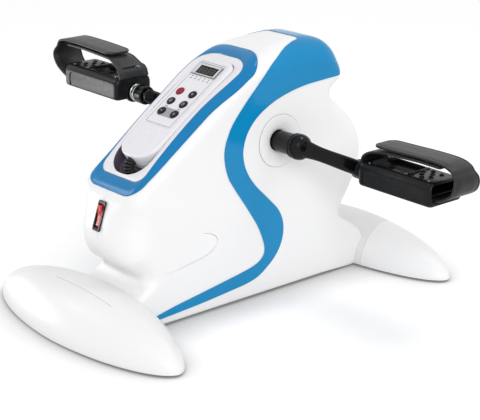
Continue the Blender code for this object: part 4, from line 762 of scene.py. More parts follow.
def band(word, side):
    """The blue trim: a thin lifted skin over the flank and the hump, inside its outline."""
    inner = skin_loops(GAP, GAP / 2)
    outer = skin_loops(GAP + 0.6 * MM, GAP / 2)
    loops = [[Vector((side * p.x, p.y, p.z)) for p in loop] for loop in inner[::-1] + outer]
    thing = loft("trim_" + word, loops, BLUE)
    front = open_curve(BAND_FRONT_EDGE, 6)
    rear = open_curve(BAND_REAR_EDGE, 6)
    outline = front + [(88.0, 340.0), (200.0, 340.0), (200.0, 260.5)] + rear[::-1]
    ends = sorted((0, side * 80))
    region = loft("region", [[Vector((x, y, z)) * MM for y, z in outline] for x in ends], BLUE)
    carve(thing, [region], 28, "INTERSECT")
    seat(thing, "base", "blue_trim", "band_" + word)


# Console: x across, u up the slope and w off it. Handset: s up the handset and h off its top.


SLOPE = math.atan2(82.95, 116.6)
TILT = SLOPE - math.radians(1.25)
CONSOLE_FRAME = Matrix.Translation(Vector((0, -138.6, 193.0)) * MM) @ Matrix.Rotation(SLOPE, 4, "X")
HANDSET_AT = at(CONSOLE_FRAME, 0, 0, 11.5)
HANDSET_FRAME = Matrix.Translation(HANDSET_AT) @ Matrix.Rotation(TILT, 4, "X")
CONSOLE_FROM_HANDSET = CONSOLE_FRAME.inverted() @ HANDSET_FRAME


def strip_loop(half_width, low, high, low_radius, high_radius, flare, sides, arc):
    """A closed loop of (x, u): a strip with rounded ends, wider by its flare towards the top."""
    start = low + low_radius
    end = high - high_radius
    rows = [(half_width - low_radius * inset, low + low_radius * rise) for rise, inset in quarter(arc)]
    rows += [(half_width, start + (end - start) * k / sides) for k in range(1, sides)]
    rows += [(half_width - high_radius * inset, high - high_radius * depth) for inset, depth in quarter(arc)]
    right = [(x * (1 + flare * smooth_step((u - 80) / 60)), u) for x, u in rows]
    return right + [(-x, u) for x, u in reversed(right)]


def strip_solid(name, layers, place, material):
    """A solid of stacked strip loops, each with its height function, its ends quads across."""
    loops = [[at(place, x, u, height(x, u)) for x, u in loop] for loop, height in layers]
    faces = bridge(loops)
    count = len(loops[0])
    top = (len(layers) - 1) * count
    for i in range(count // 2 - 1):
        quad = (i, i + 1, count - 2 - i, count - 1 - i)
        faces.append(quad)
        faces.append(tuple(top + k for k in quad))
    return piece(name, flat_list(loops), faces, material)


def level(value):
    return lambda x, u: value


def panel_height(x, u):
    """The crowned top of the console panel."""
    return 9.0 - 7.2 * ((u - 71) / 101) ** 2


def below_panel(depth):
    return lambda x, u: panel_height(x, u) - depth


def skin_profile():
    """The body's outline near the console, as rows of (u, w, edge radius)."""
    rows = []
    for y, z, r, _, _ in BODY_SAMPLES:
        _, u, w = (CONSOLE_FRAME.inverted() @ Vector((0, y, z))) / MM
        if -60 < u < 215 and w > -25:
            rows.append((u, w, r / MM))
    return np.array(sorted(rows))


SKIN = skin_profile()


def skin_height(x, u):
    """How high the body's skin stands over the console's plane."""
    w = float(np.interp(u, SKIN[:, 0], SKIN[:, 1]))
    r = float(np.interp(u, SKIN[:, 0], SKIN[:, 2]))
    over = min(max(abs(x) - (HALF / MM - r), 0), r)
    return w - (r - math.sqrt(r * r - over * over))


def panel_loop(grow, sides=24, arc=12):
    """The panel's outline, grown by so many millimetres."""
    return strip_loop(39.5 + grow, -30 - grow, 172 + grow, 14 + grow, 26 + grow, 0.11, sides, arc)


def bezel():
    """The blue rim that climbs from the body's shoulder to the panel's edge, and the panel's seam."""
    gap = GAP / MM
    inner = panel_loop(0.3, 30, 14)
    outer = strip_loop(47.4, -50, 192, 20, 34, 0.1, 30, 14)
    sections = []
    for (xi, ui), (xo, uo) in zip(inner, outer):
        top = panel_height(xi, ui)
        foot = skin_height(xo, uo) + gap + 1.0
        section = [(xi, ui, top - 0.5)]
        for k in range(9):
            t = 0.025 + 0.95 * k / 8
            x = xi + (xo - xi) * t
            u = ui + (uo - ui) * t
            crown = 1.2 * 4 * t * (1 - t) + 0.15
            section.append((x, u, max(top + (foot - top) * t + crown, skin_height(x, u) + 1.2)))
        section.append((xo, uo, foot - 0.4))
        for k in range(6):
            x = xo + (xi - xo) * k / 5
            u = uo + (ui - uo) * k / 5
            section.append((x, u, skin_height(x, u) + 1.5 * gap))
        sections.append([at(CONSOLE_FRAME, *p) for p in section])
    # The rim's deeper blue is painted shade.
    seat(hoop("console_rim", sections, RIM_BLUE_PAINTED_SHADE), "base", "blue_trim", "console_bezel")
    loops = []
    for grow, depth in ((0.34, 0.7), (0.34, 0.2), (-0.34, 0.2), (-0.34, 0.7)):
        loops.append([at(CONSOLE_FRAME, x, u, panel_height(x, u) - depth) for x, u in panel_loop(grow)])
    seat(hoop("panel_line", loops, SEAM), "base", "grey_frame")


def panel_in_handset(s):
    """The panel's height in the handset's frame."""
    _, u, w = at(CONSOLE_FROM_HANDSET, 0, s, 0) / MM
    return panel_height(0, u) - w


def over_panel(rise):
    return lambda x, s: panel_in_handset(s) + rise


def pocket_loop(grow):
    """The handset's pocket with its scoop at the low end."""
    return strip_loop(32.3 + grow, -25 - grow, 160.8 + grow, 29 + grow, 15.8 + grow, 0, 20, 14)


def handset_loop(inset):
    return strip_loop(31.5 - inset, -5 + inset, 160 - inset, 26 - inset, 15 - inset, 0, 20, 12)


def tray():
    """The white panel round the handset, with its pocket and the cord's well."""
    layers = [(panel_loop(-0.3), below_panel(2.2))]
    layers += [(panel_loop(-0.3 - 0.6 * inset), below_panel(0.6 * depth)) for inset, depth in quarter(3)]
    plate = strip_solid("console_panel", layers, CONSOLE_FRAME, PANEL)
    floor = -22.8
    layers = [(pocket_loop(2), level(floor - 2)), (pocket_loop(2), over_panel(-1))]
    tub = strip_solid("tub", layers, HANDSET_FRAME, PANEL)
    layers = [(pocket_loop(-4 * inset), level(floor + 4 * rise)) for rise, inset in quarter(4)]
    layers += [(pocket_loop(grow), over_panel(rise)) for grow, rise in ((0, -0.7), (0.25, -0.2), (0.9, 0.15))]
    layers.append((pocket_loop(0.9), level(30)))
    pocket = strip_solid("pocket", layers, HANDSET_FRAME, PANEL)
    well = slab("well", circle_loop(9, 0, WELL_S, 40), -80.8, -21, PANEL)
    bore = slab("bore", circle_loop(7, 0, WELL_S, 40), -90, 0, PANEL)
    boolean(plate, [tub, well], "UNION")
    boolean(plate, [pocket, bore])
    settle(plate, 30)
    drop([tub, well, pocket, bore])
    paint_scoop_shade(plate)
    seat(plate, "base", "white_shell", "console_tray")


def paint_scoop_shade(plate):
    """The pocket's inside gets a dark colour, painted shade in the recess, against the lighter panel round
    it.
    """
    plate.data.materials.append(SCOOP_PAINTED_SHADE)
    to_local = HANDSET_FRAME.inverted()
    for face in plate.data.polygons:
        x, s, h = (to_local @ face.center) / MM
        if abs(x) < 32.6 and -25.3 < s < 161.1 and h < panel_in_handset(s) - 0.9:
            face.material_index = 1


# Flat loops and what is made of them


def corner_arcs(corners, arc):
    """A loop of four rounded corners, each from its arc's middle and radius, counter-clockwise."""
    loop = []
    for quadrant, (x, s, radius) in enumerate(corners):
        for k in range(arc + 1):
            a = math.pi / 2 * (quadrant + k / arc)
            loop.append((x + radius * math.cos(a), s + radius * math.sin(a)))
    return loop


def rect_loop(width, length, radius, x=0.0, s=0.0, arc=5):
    """A rounded rectangle as (x, s)."""
    a = width / 2 - radius
    b = length / 2 - radius
    middles = ((x + a, s + b), (x - a, s + b), (x - a, s - b), (x + a, s - b))
    return corner_arcs([(*middle, radius) for middle in middles], arc)


def rect_layers(sizes, s=0.0, arc=5):
    """Rounded rectangles over one middle, each from its width, length, radius and height."""
    return [(rect_loop(width, length, radius, 0, s, arc), height) for width, length, radius, height in sizes]


def circle_loop(radius, x=0.0, s=0.0, steps=36):
    return [(x + radius * math.cos(a), s + radius * math.sin(a)) for a in full_turn(steps)]


def placed(layers, place):
    """Flat loops, each at its own height, as loops of places."""
    return [[at(place, x, s, h) for x, s in loop] for loop, h in layers]


def stacked(name, layers, material, place=HANDSET_FRAME):
    """A solid of flat loops, each at its own height, its first and last loops capped."""
    return loft(name, placed(layers, place), material)


def slab(name, loop, low, high, material, place=HANDSET_FRAME):
    """A flat loop drawn out from one height to another."""
    return stacked(name, [(loop, low), (loop, high)], material, place)


def flat_ring(name, outer, inner, low, high, material, place=HANDSET_FRAME):
    """A flat ring between two loops and two heights."""
    return hoop(name, placed([(outer, low), (outer, high), (inner, high), (inner, low)], place), material)


def joined(name, parts):
    """Several closed meshes as one object, with their own materials."""
    work = bmesh.new()
    materials = []
    for part in parts:
        first = len(work.faces)
        work.from_mesh(part.data)
        work.faces.ensure_lookup_table()
        for face in work.faces[first:]:
            material = part.data.materials[face.material_index]
            if material not in materials:
                materials.append(material)
            face.material_index = materials.index(material)
    drop(parts)
    mesh = bpy.data.meshes.new(name)
    work.to_mesh(mesh)
    work.free()
    for material in materials:
        mesh.materials.append(material)
    thing = linked(name, mesh)
    smooth(thing)
    return thing


# Handset


WELL_S = -15.5
LABEL_S = 98.75
LABEL_TOP = 0.8
PRINT_LOW = LABEL_TOP - 0.02
DISPLAY_S = 138
BUTTON_X = 11.7
BUTTON_RADIUS = 5.65
ROWS = (99.5, 82.7, 65.9)
KEY_NAMES = (
    ("start_stop_button", "mode_button"),
    ("speed_up_button", "time_up_button"),
    ("speed_down_button", "time_down_button"),
)


def hollow_shell(name, node, layers, low, high, cutters=()):
    """One shell of the handset round a room from low to high."""
    shell = strip_solid(name, layers, HANDSET_FRAME, PANEL)
    room = strip_solid("room", [(handset_loop(5), level(h)) for h in (low, high)], HANDSET_FRAME, PANEL)
    carve(shell, [room, *cutters])
    seat(shell, "handset", "white_shell", node)


def handset_shells():
    """The handset's two shells, rounded where they meet and along the top."""
    layers = [(handset_loop(3 * inset), level(-22.5 + 3 * rise)) for rise, inset in quarter(4)]
    layers += [(handset_loop(0), level(-12.5)), (handset_loop(0.4), level(-12.0))]
    hollow_shell("grip_back", "handset_back", layers, -20.5, -7)
    layers = [(handset_loop(0.4), level(-11.7)), (handset_loop(0), level(-11.2))]
    layers += [(handset_loop(3 * inset), level(-3 * depth)) for inset, depth in quarter(7)]
    hollow_shell("grip_top", "handset_top", layers, -17, -2, handset_holes())


def handset_holes():
    """Cutters for the display and the buttons."""
    holes = [slab("window_hole", rect_loop(33, 13.2, 0.6, 0, DISPLAY_S), -6, 6, PANEL)]
    for row in ROWS:
        for side in (-1, 1):
            loop = circle_loop(BUTTON_RADIUS + GAP / MM, side * BUTTON_X, row)
            holes.append(slab("button_hole", loop, -5, 5, PANEL))
    return holes


def label():
    """The plate on the handset: a thin raised sheet with a printed border."""
    sizes = ((46.4, 105.5, 1.8, 0.3), (46.4, 105.5, 1.8, 0.65), (46.1, 105.2, 1.65, LABEL_TOP))
    sheet = stacked("label_plate", rect_layers(sizes, LABEL_S), PANEL)
    carve(sheet, handset_holes())
    seat(sheet, "handset", "white_shell", "handset_label")
    outer = rect_loop(45.2, 104.3, 1.4, 0, LABEL_S)
    inner = rect_loop(43.6, 102.7, 0.8, 0, LABEL_S)
    border = flat_ring("label_border", outer, inner, PRINT_LOW, LABEL_TOP + 0.05, GREY_MARK_AND_SHADE)
    seat(border, "handset", "grey_frame")


def display():
    """The grey frame, its glass and four dim digits."""
    sizes = (
        (43.6, 19.2, 1.6, 1.1), (43.6, 19.2, 1.6, 1.9), (43.2, 18.8, 1.5, 2.1), (42.0, 17.6, 1.2, 2.1),
        (41.6, 17.2, 1.1, 1.75), (40.9, 16.5, 1.0, 1.75), (40.5, 16.1, 0.9, 2.1), (35.4, 14.9, 0.8, 2.1),
        (33.3, 13.5, 0.7, 1.35), (33.0, 13.2, 0.6, 1.1),
    )
    surround = hoop("display_surround", placed(rect_layers(sizes, DISPLAY_S), HANDSET_FRAME), SILVER)
    surround.data.materials.append(GREY)
    for face in surround.data.polygons:
        x, s, _ = (HANDSET_FRAME.inverted() @ face.center) / MM
        if abs(x) > 20.9 or abs(s - DISPLAY_S) > 8.7:
            face.material_index = 1
    seat(surround, "handset", "grey_frame", "display_frame")
    sizes = ((32.4, 12.6, 0.5, -2.3), (32.4, 12.6, 0.5, 1.05), (32.0, 12.2, 0.4, 1.2))
    glass = stacked("display_glass", rect_layers(sizes, DISPLAY_S), GLASS)
    seat(glass, "handset", "dark_window", "display_window")
    segments = []
    for k in range(4):
        segments += digit((k - 1.5) * 7.0, DISPLAY_S - 0.5, 3.8, 7.2, 1.19)
    seat(joined("display_segments", segments), "handset", "dark_window")


def digit(x, s, width, height, base):
    """Seven thin bars that make an 8, leaning a little."""
    a = width / 2
    b = height / 2
    bars = [((-a, b), (a, b)), ((-a, 0), (a, 0)), ((-a, -b), (a, -b))]
    bars += [((-a, 0), (-a, b)), ((a, 0), (a, b)), ((-a, -b), (-a, 0)), ((a, -b), (a, 0))]
    found = []
    half = 0.22
    end_gap = 0.35
    for start, end in bars:
        p = Vector(start)
        q = Vector(end)
        along = (q - p).normalized()
        across = Vector((-along.y, along.x)) * half
        p += along * end_gap
        q -= along * end_gap
        outline = [p, p + along * half + across, q - along * half + across, q]
        outline += [q - along * half - across, p + along * half - across]
        loop = [(x + c.x + 0.09 * c.y, s + c.y) for c in outline]
        found.append(slab("bar", loop, base, base + 0.06, DIGITS))
    return found


def keys():
    """Six round keys with a dished crown, and a plain raised sign on each but the start key."""
    crown = 2.3
    flange = -2.3
    r = BUTTON_RADIUS
    profile = [(0, crown - 0.25)]
    profile += [(r * f, crown - d) for f, d in ((0.3, 0.22), (0.55, 0.1), (0.72, 0), (0.84, 0.06))]
    profile += [(r * 0.93, crown - 0.3), (r * 0.985, crown - 0.65), (r, crown - 1.1), (r, flange)]
    profile += [(r + 1.2, flange), (r + 1.2, flange - 1.4), (2.2, flange - 1.4), (2.2, -7.4), (0, -7.4)]
    for row, pair in zip(ROWS, KEY_NAMES):
        for side, name in zip((-1, 1), pair):
            place = HANDSET_FRAME @ Matrix.Translation(Vector((side * BUTTON_X, row, 0)) * MM)
            red_key = name == "start_stop_button"
            key = turned(name + "_cap", profile, place, RED if red_key else BUTTON, 40)
            seat(key, name, "red_plastic" if red_key else "black_plastic", name)
            signs = key_sign(name, place, crown - 0.24)
            if signs:
                seat(joined(name + "_sign", signs), name, "white_shell")


def key_sign(name, place, base):
    """A plain sign: bars, a ring or a cross."""
    top = base + 0.1

    def bar(width, length, x=0.0, s=0.0):
        return slab("bar", rect_loop(width, length, 0.2, x, s, 3), base, top, INK, place)

    if name == "mode_button":
        return [bar(3.4, 0.6, 0, 0.7), bar(2.0, 0.6, 0, -0.7)]
    if name in ("speed_up_button", "time_up_button"):
        outer, inner = (circle_loop(radius, steps=28) for radius in (2.2, 1.75))
        return [flat_ring("ring", outer, inner, base, top, INK, place), bar(0.5, 1.6, 0, 0.2)]
    if name == "speed_down_button":
        return [bar(3.0, 0.7)]
    if name == "time_down_button":
        return [bar(3.0, 0.7), bar(0.7, 1.1, 0, 1.0), bar(0.7, 1.1, 0, -1.0)]
    return []


def printed_marks():
    """Plain print: a row of dots and dashes, two short dashes, and the grey field under two keys."""
    loops = []
    for k in range(5):
        x = (k - 2) * 7.6
        loops.append(circle_loop(0.85, x, 125.6, 14))
        loops.append(rect_loop(3.6, 0.9, 0.2, x, 122.4, 3))
    for side in (-1, 1):
        loops.append(rect_loop(5.2, 0.8, 0.2, side * BUTTON_X, 74.3, 3))
    high = LABEL_TOP + 0.03
    marks = [slab("mark", loop, PRINT_LOW, high, GREY_INK) for loop in loops]
    seat(joined("printed_marks", marks), "handset", "grey_frame")
    row = ROWS[2]
    field = slab("key_field", rect_loop(2 * (BUTTON_X + 6.9), 13.8, 6.8, 0, row, 10), PRINT_LOW, high, GREY_MARK_AND_SHADE)
    rings = [circle_loop(BUTTON_RADIUS + 0.45, side * BUTTON_X, row) for side in (-1, 1)]
    carve(field, [slab("hole", ring, -5, 5, GREY_MARK_AND_SHADE) for ring in rings])
    seat(field, "handset", "grey_frame")


def sweep(name, path, radius, material, sides=10):
    """A round tube, its radius in millimetres, along a path; its rings are carried without twist."""
    up = (path[1] - path[0]).orthogonal().normalized()
    angles = full_turn(sides)
    loops = []
    for i, point in enumerate(path):
        after = path[min(i + 1, len(path) - 1)]
        before = path[max(i - 1, 0)]
        along = (after - before).normalized()
        up = (up - along * up.dot(along)).normalized()
        across = along.cross(up)
        loops.append([point + (up * math.cos(a) + across * math.sin(a)) * radius * MM for a in angles])
    return loft(name, loops, material, 50)


def cord_route():
    """The curly cord's middle line, from the handset's low end round into the well."""
    points = [(-5.3, -9.0), (-6.8, -9.0)]
    bend = 8.5
    points += [(WELL_S + bend * inset, -9.0 - bend * fall) for fall, inset in quarter(6)[1:]]
    points += [(WELL_S, -h) for h in (20, 24, 30, 36, 42, 48, 54, 60, 66, 72, 76.2)]
    return [at(HANDSET_FRAME, 0, s, h) for s, h in open_curve(points, 12)]


def curly_cord():
    """The handset's coiled cord: a thin cable wound close, from the handset down into its well."""
    route = cord_route()
    lengths = [0.0]
    for a, b in zip(route, route[1:]):
        lengths.append(lengths[-1] + (b - a).length)
    total = lengths[-1]
    pitch = 2.7 * MM
    coil_radius = 5.25 * MM
    wire_radius = 1.2
    turns = (total - 3 * MM) / pitch
    steps_per_turn = 20
    steps = int(turns * steps_per_turn)
    side = Vector((1, 0, 0))
    path = []
    for i in range(steps + 1):
        along = wire_radius * MM + (total - 2 * wire_radius * MM) * i / steps
        k = min(max(int(np.searchsorted(lengths, along)) - 1, 0), len(route) - 2)
        t = (along - lengths[k]) / (lengths[k + 1] - lengths[k])
        up = (route[k + 1] - route[k]).normalized().cross(side).normalized()
        a = 2 * math.pi * turns * i / steps
        path.append(route[k].lerp(route[k + 1], t) + (side * math.cos(a) + up * math.sin(a)) * coil_radius)
    wire = sweep("curly_cord", path, wire_radius, RUBBER, 9)
    seat(wire, "handset", "black_rubber", "handset_cord")
    profile = [(2.6, 0.2), (5.9, 0.2), (5.9, 0.9), (4.4, 1.2), (4.4, 1.9), (5.2, 2.2), (5.2, 2.9), (2.6, 3.2)]
    start = Matrix.Translation(at(HANDSET_FRAME, 0, -5, -9))
    place = start @ Matrix.Rotation(TILT + math.pi / 2, 4, "X")
    seat(turned("cord_collar", profile, place, RUBBER, 32), "handset", "black_rubber")


# Rocker switch


SWITCH_LEAN = 1.2382
SWITCH_FRAME = Matrix.Translation((0, -0.193012, 0.135333)) @ Matrix.Rotation(SWITCH_LEAN, 4, "X")
ROCKER_PIVOT = Vector((0, -0.190366, 0.134419))
ROCKER_FRAME = Matrix.Translation(ROCKER_PIVOT) @ Matrix.Rotation(SWITCH_LEAN + math.radians(9), 4, "X")


def rocker_switch():
    """The black frame with its well, and the red rocker with plain on and off signs."""
    sizes = (
        (8.6, 27.6, 0.8, -10.3), (8.6, 27.6, 0.8, 0.35), (9.0, 28.0, 0.9, 0.7), (9.5, 28.5, 1.0, 0.8),
        (12.9, 34.9, 1.6, 0.8), (13.6, 35.6, 1.9, 0.55), (14.0, 36.0, 2.0, 0.1), (14.0, 36.0, 2.0, -0.8),
        (11.0, 30.0, 1.0, -0.8), (11.0, 30.0, 1.0, -14.3),
    )
    surround = stacked("switch_surround", rect_layers(sizes, arc=6), BLACK, SWITCH_FRAME)
    seat(surround, "base", "black_plastic", "switch_frame")
    front = [(2.112, 2.6), (5.94, 3.064), (11.6, 4.2), (12.9, 3.4), (13.2, 1.0), (6.6, -3.0)]
    outline = [(0, 2.44), *front, (0, -5.0)] + [(-y, z) for y, z in reversed(front)]
    outline = rounded(outline, 1.6)
    loops = []
    for x, inset in ((-4.0, 0.5), (-3.8, 0.15), (-3.4, 0), (3.4, 0), (3.8, 0.15), (4.0, 0.5)):
        loops.append([at(ROCKER_FRAME, x, y * (1 - inset / 26), z * (1 - inset / 12)) for y, z in outline])
    seat(loft("rocker_paddle", loops, SWITCH_RED), "rocker", "red_plastic", "switch_rocker")
    bar = rect_loop(0.7, 4.2, 0.25, arc=3)
    outer = rect_loop(3.6, 4.6, 1.7, arc=6)
    inner = rect_loop(2.2, 3.2, 1.0, arc=6)
    on_mark = slab("on_bar", bar, -0.4, 0.12, INK, rocker_face(1))
    off_mark = flat_ring("off_ring", outer, inner, -0.4, 0.12, INK, rocker_face(-1))
    seat(joined("rocker_signs", [on_mark, off_mark]), "rocker", "white_shell")


def rocker_face(end):
    """The frame of the rocker's upper or lower half, for its sign."""
    middle = Matrix.Translation(Vector((0, end * 8.3, 3.54)) * MM)
    return ROCKER_FRAME @ middle @ Matrix.Rotation(math.radians(end * 11.4), 4, "X")


# Feet and pads


FOOT_LOW = 3
FRONT_FOOT = {"half_length": 172, "half_width": 55.2, "rise": 56.4}
REAR_FOOT = {"half_length": 173, "half_width": 52, "rise": 47.8}
FRONT_FOOT_Y = -213.3
REAR_FOOT_Y = 216.5


def dome_height(x, y, half_length, half_width, rise):
    reach = ((abs(x) / half_length) ** 1.8 + (abs(y) / half_width) ** 1.8) ** (1 / 1.8)
    return FOOT_LOW + rise * math.sqrt(max(1 - min(reach, 1) ** 2, 0))


def foot_cover(name, centre_y, half_length, half_width, rise):
    """A thin dome, open below, on a fine ring grid; the last ring lies level at its foot."""
    spokes = 168
    rings = 26
    points = [Vector((0, centre_y, FOOT_LOW + rise))]
    for j in range(1, rings + 1):
        for k in range(spokes):
            a = 2 * math.pi * k / spokes
            c = math.cos(a)
            s = math.sin(a)
            reach = math.sin(math.pi / 2 * j / rings) * (abs(c) ** 1.8 + abs(s) ** 1.8) ** (-1 / 1.8)
            x = half_length * reach * c
            y = half_width * reach * s
            z = FOOT_LOW if j == rings else dome_height(x, y, half_length, half_width, rise)
            points.append(Vector((x, centre_y + y, z)))
    faces = [(0, 1 + k, 1 + (k + 1) % spokes) for k in range(spokes)]
    for j in range(rings - 1):
        for k in range(spokes):
            a = 1 + j * spokes + k
            b = 1 + j * spokes + (k + 1) % spokes
            faces.append((a, a + spokes, b + spokes, b))
    thing = meshed(name, [p * MM for p in points], faces, WHITE)
    thicken(thing)
    return thing


def body_solid():
    """The whole body grown by a gap: it cuts the feet."""
    right = [skin_loop(BODY_SAMPLES, math.pi / 2 * k / 6, GAP) for k in range(7)]
    left = [[Vector((-p.x, p.y, p.z)) for p in loop] for loop in reversed(right)]
    return loft("body_cut", left + right, WHITE)


def front_foot(body_cut):
    """The front foot's cover and the fine parting line over its top."""
    cover = foot_cover("foot_front", FRONT_FOOT_Y, **FRONT_FOOT)
    boolean(cover, [body_cut])
    settle(cover, 30)
    seat(cover, "base", "white_shell", "front_foot_cover")
    loops = []
    for k in range(57):
        x = -44 + 2 * k
        y = -13.7 + 2.5 * (k / 56 - 0.5) ** 2
        loop = []
        for d, h in line_section(0.16):
            z = dome_height(x, y + d, **FRONT_FOOT) + h
            loop.append(Vector((x, y + d + FRONT_FOOT_Y, z)) * MM)
        loops.append(loop)
    seat(loft("foot_parting_line", loops, GREY_MARK_AND_SHADE, 50), "base", "white_shell")


def line_section(half):
    """A fine line's section across a surface, as (across, height)."""
    return ((-half, -0.5), (-half, 0.05), (half, 0.05), (half, -0.5))


def rear_foot(body_cut):
    """The rear foot: a middle saddle with a cap at each end, split along leaning planes."""
    lean = math.radians(12.4)
    size = 346
    for name, node, side in (
        ("foot_rear_saddle", "rear_foot_saddle", 0),
        ("foot_rear_left", "rear_foot_cap_left", -1),
        ("foot_rear_right", "rear_foot_cap_right", 1),
    ):
        part = foot_cover(name, REAR_FOOT_Y, **REAR_FOOT)
        used = []
        for edge in (-1, 1):
            if side == -edge:
                continue
            outward = Vector((edge * math.cos(lean), math.sin(lean), 0))
            push = (size / 2 * MM - GAP / 2) * (1 if side == 0 else -1)
            middle = Vector((edge * 57, 206.5, 20)) * MM + outward * push
            used.append(block("cut", (size, size, size), middle, WHITE, (0, 0, edge * lean)))
        boolean(part, [body_cut, *used])
        settle(part, 30)
        drop(used)
        # The saddle is the same white plastic, darker here as painted shade.
        if side == 0:
            part.data.materials[0] = SADDLE_PAINTED_SHADE
        seat(part, "base", "white_shell", node)


def foot_pads():
    """Four rubber pads with ringed soles."""
    profile = [(0, 8), (19.2, 8), (20.4, 7.2), (23.7, 2.4), (24, 1.6), (23.6, 0.5), (22.8, 0)]
    for r in (20, 17, 14, 11, 8, 5):
        profile += [(r + 0.8, 0), (r + 0.4, 0.7), (r - 0.4, 0.7), (r - 0.8, 0)]
    profile.append((0, 0))
    for end, y in (("front", FRONT_FOOT_Y), ("rear", REAR_FOOT_Y)):
        for word, side in SIDES:
            name = f"{end}_pad_{word}"
            place = Matrix.Translation(Vector((side * 118, y, 0)) * MM)
            seat(turned(name + "_disc", profile, place, RUBBER, 48), "base", "black_rubber", name)


def feet():
    body_cut = body_solid()
    front_foot(body_cut)
    rear_foot(body_cut)
    drop([body_cut])
    foot_pads()


def lip_lines():
    """A thin grey line in the crease under the belly's lip, painted shade: a hair at first, wider on, thin at
    its end.
    """
    path = np.array(open_curve(LIP, 8))
    count = len(path)
    first = 30
    for word, side in SIDES:
        mesh = bpy.data.objects["shell_" + word].data
        tree = BVHTree.FromPolygons([v.co for v in mesh.vertices], [tuple(f.vertices) for f in mesh.polygons])
        loops = []
        for i in range(first, count):
            along = path[min(i + 1, count - 1)] - path[i - 1]
            along /= np.hypot(*along)
            across = np.array((along[1], -along[0]))
            share = i / (count - 1)
            half = 0.06 + 0.08 * smooth_step((share - 0.25) / 0.1) + 0.2 * smooth_step((share - 0.4) / 0.25)
            half -= 0.24 * smooth_step((share - 0.86) / 0.14)
            loop = []
            for d, h in line_section(half):
                y, z = (path[i] + across * (0.75 - d)) * MM
                hit = tree.ray_cast(Vector((side * 0.2, y, z)), Vector((-side, 0, 0)))[0]
                loop.append(Vector((hit.x + side * h * MM, y, z)))
            loops.append(loop)
        # The line is painted shade in the lip's crease.
        seat(loft("lip_line_" + word, loops, GREY_MARK_AND_SHADE, 50), "base", "grey_frame")


# Crank


CRANK_AT = Vector((0, 36, 193.9)) * MM
PEDAL_AT = {
    "left": Vector((0, -31.827, 226.835)) * MM,
    "right": Vector((0, 103.827, 160.965)) * MM,
}
EYE_X = 127 * MM


def crank_covers():
    """The dished discs that close the flanks round the crank, each in a fine dark parting line."""
    rim = (HALF + GAP) / MM
    disc = [(12.7, -4.6), (12.9, -3.4), (13.6, -2.6), (15.5, -1.7), (18.5, -0.7), (22, 0), (26, 0.4)]
    disc += [(30, 0.5), (31.9, 0.5), (32.3, 0.42), (32.4, 0.2), (32.4, 0), (29.4, 0), (22, -1.6)]
    disc += [(17, -3.4), (12.7, -5.0)]
    line = [(32.45, -0.25), (32.45, -0.13), (32.95, -0.13), (33.0, -0.25)]
    for word, side in SIDES:
        place = along_x(CRANK_AT, side)
        cover = turned("hub_cover_" + word, [(r, rim + h) for r, h in disc], place, WHITE, 96)
        seat(cover, "base", "white_shell", "crank_cover_" + word)
        seam = turned("hub_line_" + word, [(r, rim + h) for r, h in line], place, SEAM, 96)
        seat(seam, "base", "grey_frame")


def flat_sided(value):
    """A sine or cosine pushed outwards, so that a circle nears a rounded square."""
    return math.copysign(abs(value) ** 0.6, value)


def arm_bar(start, end, side):
    """The tapering bar between the axle's ball and the pedal's eye."""
    run = end - start
    ahead = run.normalized()
    thin = (Vector((side, 0, 0)) - ahead * ahead.x * side).normalized()
    wide = ahead.cross(thin)
    section = []
    for a in full_turn(40):
        section.append(wide * 9.3 * flat_sided(math.cos(a)) + thin * 6.5 * flat_sided(math.sin(a)))
    loops = []
    for k in range(25):
        t = k / 24
        taper = 1.0 - 0.07 * math.sin(math.pi * min(t * 1.25, 1)) ** 2
        flare = 1 + 0.16 * (1 - smooth_step(t / 0.3))
        loops.append([start + run * t + p * MM * taper * flare for p in section])
    return loft("bar", loops, PAINTED)


def crank_arm(word, side):
    """A forged arm: a ball at the axle, a tapering bar and the pedal's eye, run together."""
    axle = along_x(CRANK_AT, side)
    end = PEDAL_AT[word] + Vector((side * EYE_X, 0, 0))
    profile = [
        (0, 101), (3.2, 100.9), (8.8, 100.1), (12.6, 98.0), (14.8, 95.0), (15.8, 91.5), (16.0, 88.6),
        (15.8, 86.6), (15.2, 85.6), (0, 85.6),
    ]
    arm = turned("forged_arm_" + word, profile, axle, PAINTED, 56)
    bar = arm_bar(at(axle, 0, 0, 93), end, side)
    profile = [(0, 7.5), (10.6, 7.5), (11.6, 6.9), (12.0, 5.8)]
    profile += [(r, -h) for r, h in reversed(profile)]
    eye = turned("eye", profile, along_x(end, side), PAINTED, 56)
    carve(arm, [bar, eye], operation="UNION")
    remesh = arm.modifiers.new("Remesh", "REMESH")
    remesh.mode = "VOXEL"
    remesh.voxel_size = 0.7 * MM
    settle(arm)
    profile = [(0, 12), (7.6, 12), (7.6, -5.2), (9.8, -5.2), (9.8, -12), (0, -12)]
    carve(arm, [turned("bore", profile, along_x(end, side), PAINTED, 48)], 40)
    seat(arm, "crank", "black_painted_steel", "crank_arm_" + word)
    profile = [
        (9.2, 50), (11.7, 50), (11.7, 54.2), (12.0, 54.8), (12.6, 55.2), (12.7, 56), (13.5, 80.0),
        (13.6, 80.5), (13.2, 80.7), (13.2, 81.1), (14.4, 81.5), (15.3, 82.2), (15.5, 83.0), (15.5, 84.2),
        (15.2, 84.7), (14.8, 84.9), (14.8, 85.8), (9.2, 85.8),
    ]
    seat(turned("arm_sleeve_" + word, profile, axle, BLACK, 72), "crank", "black_plastic")


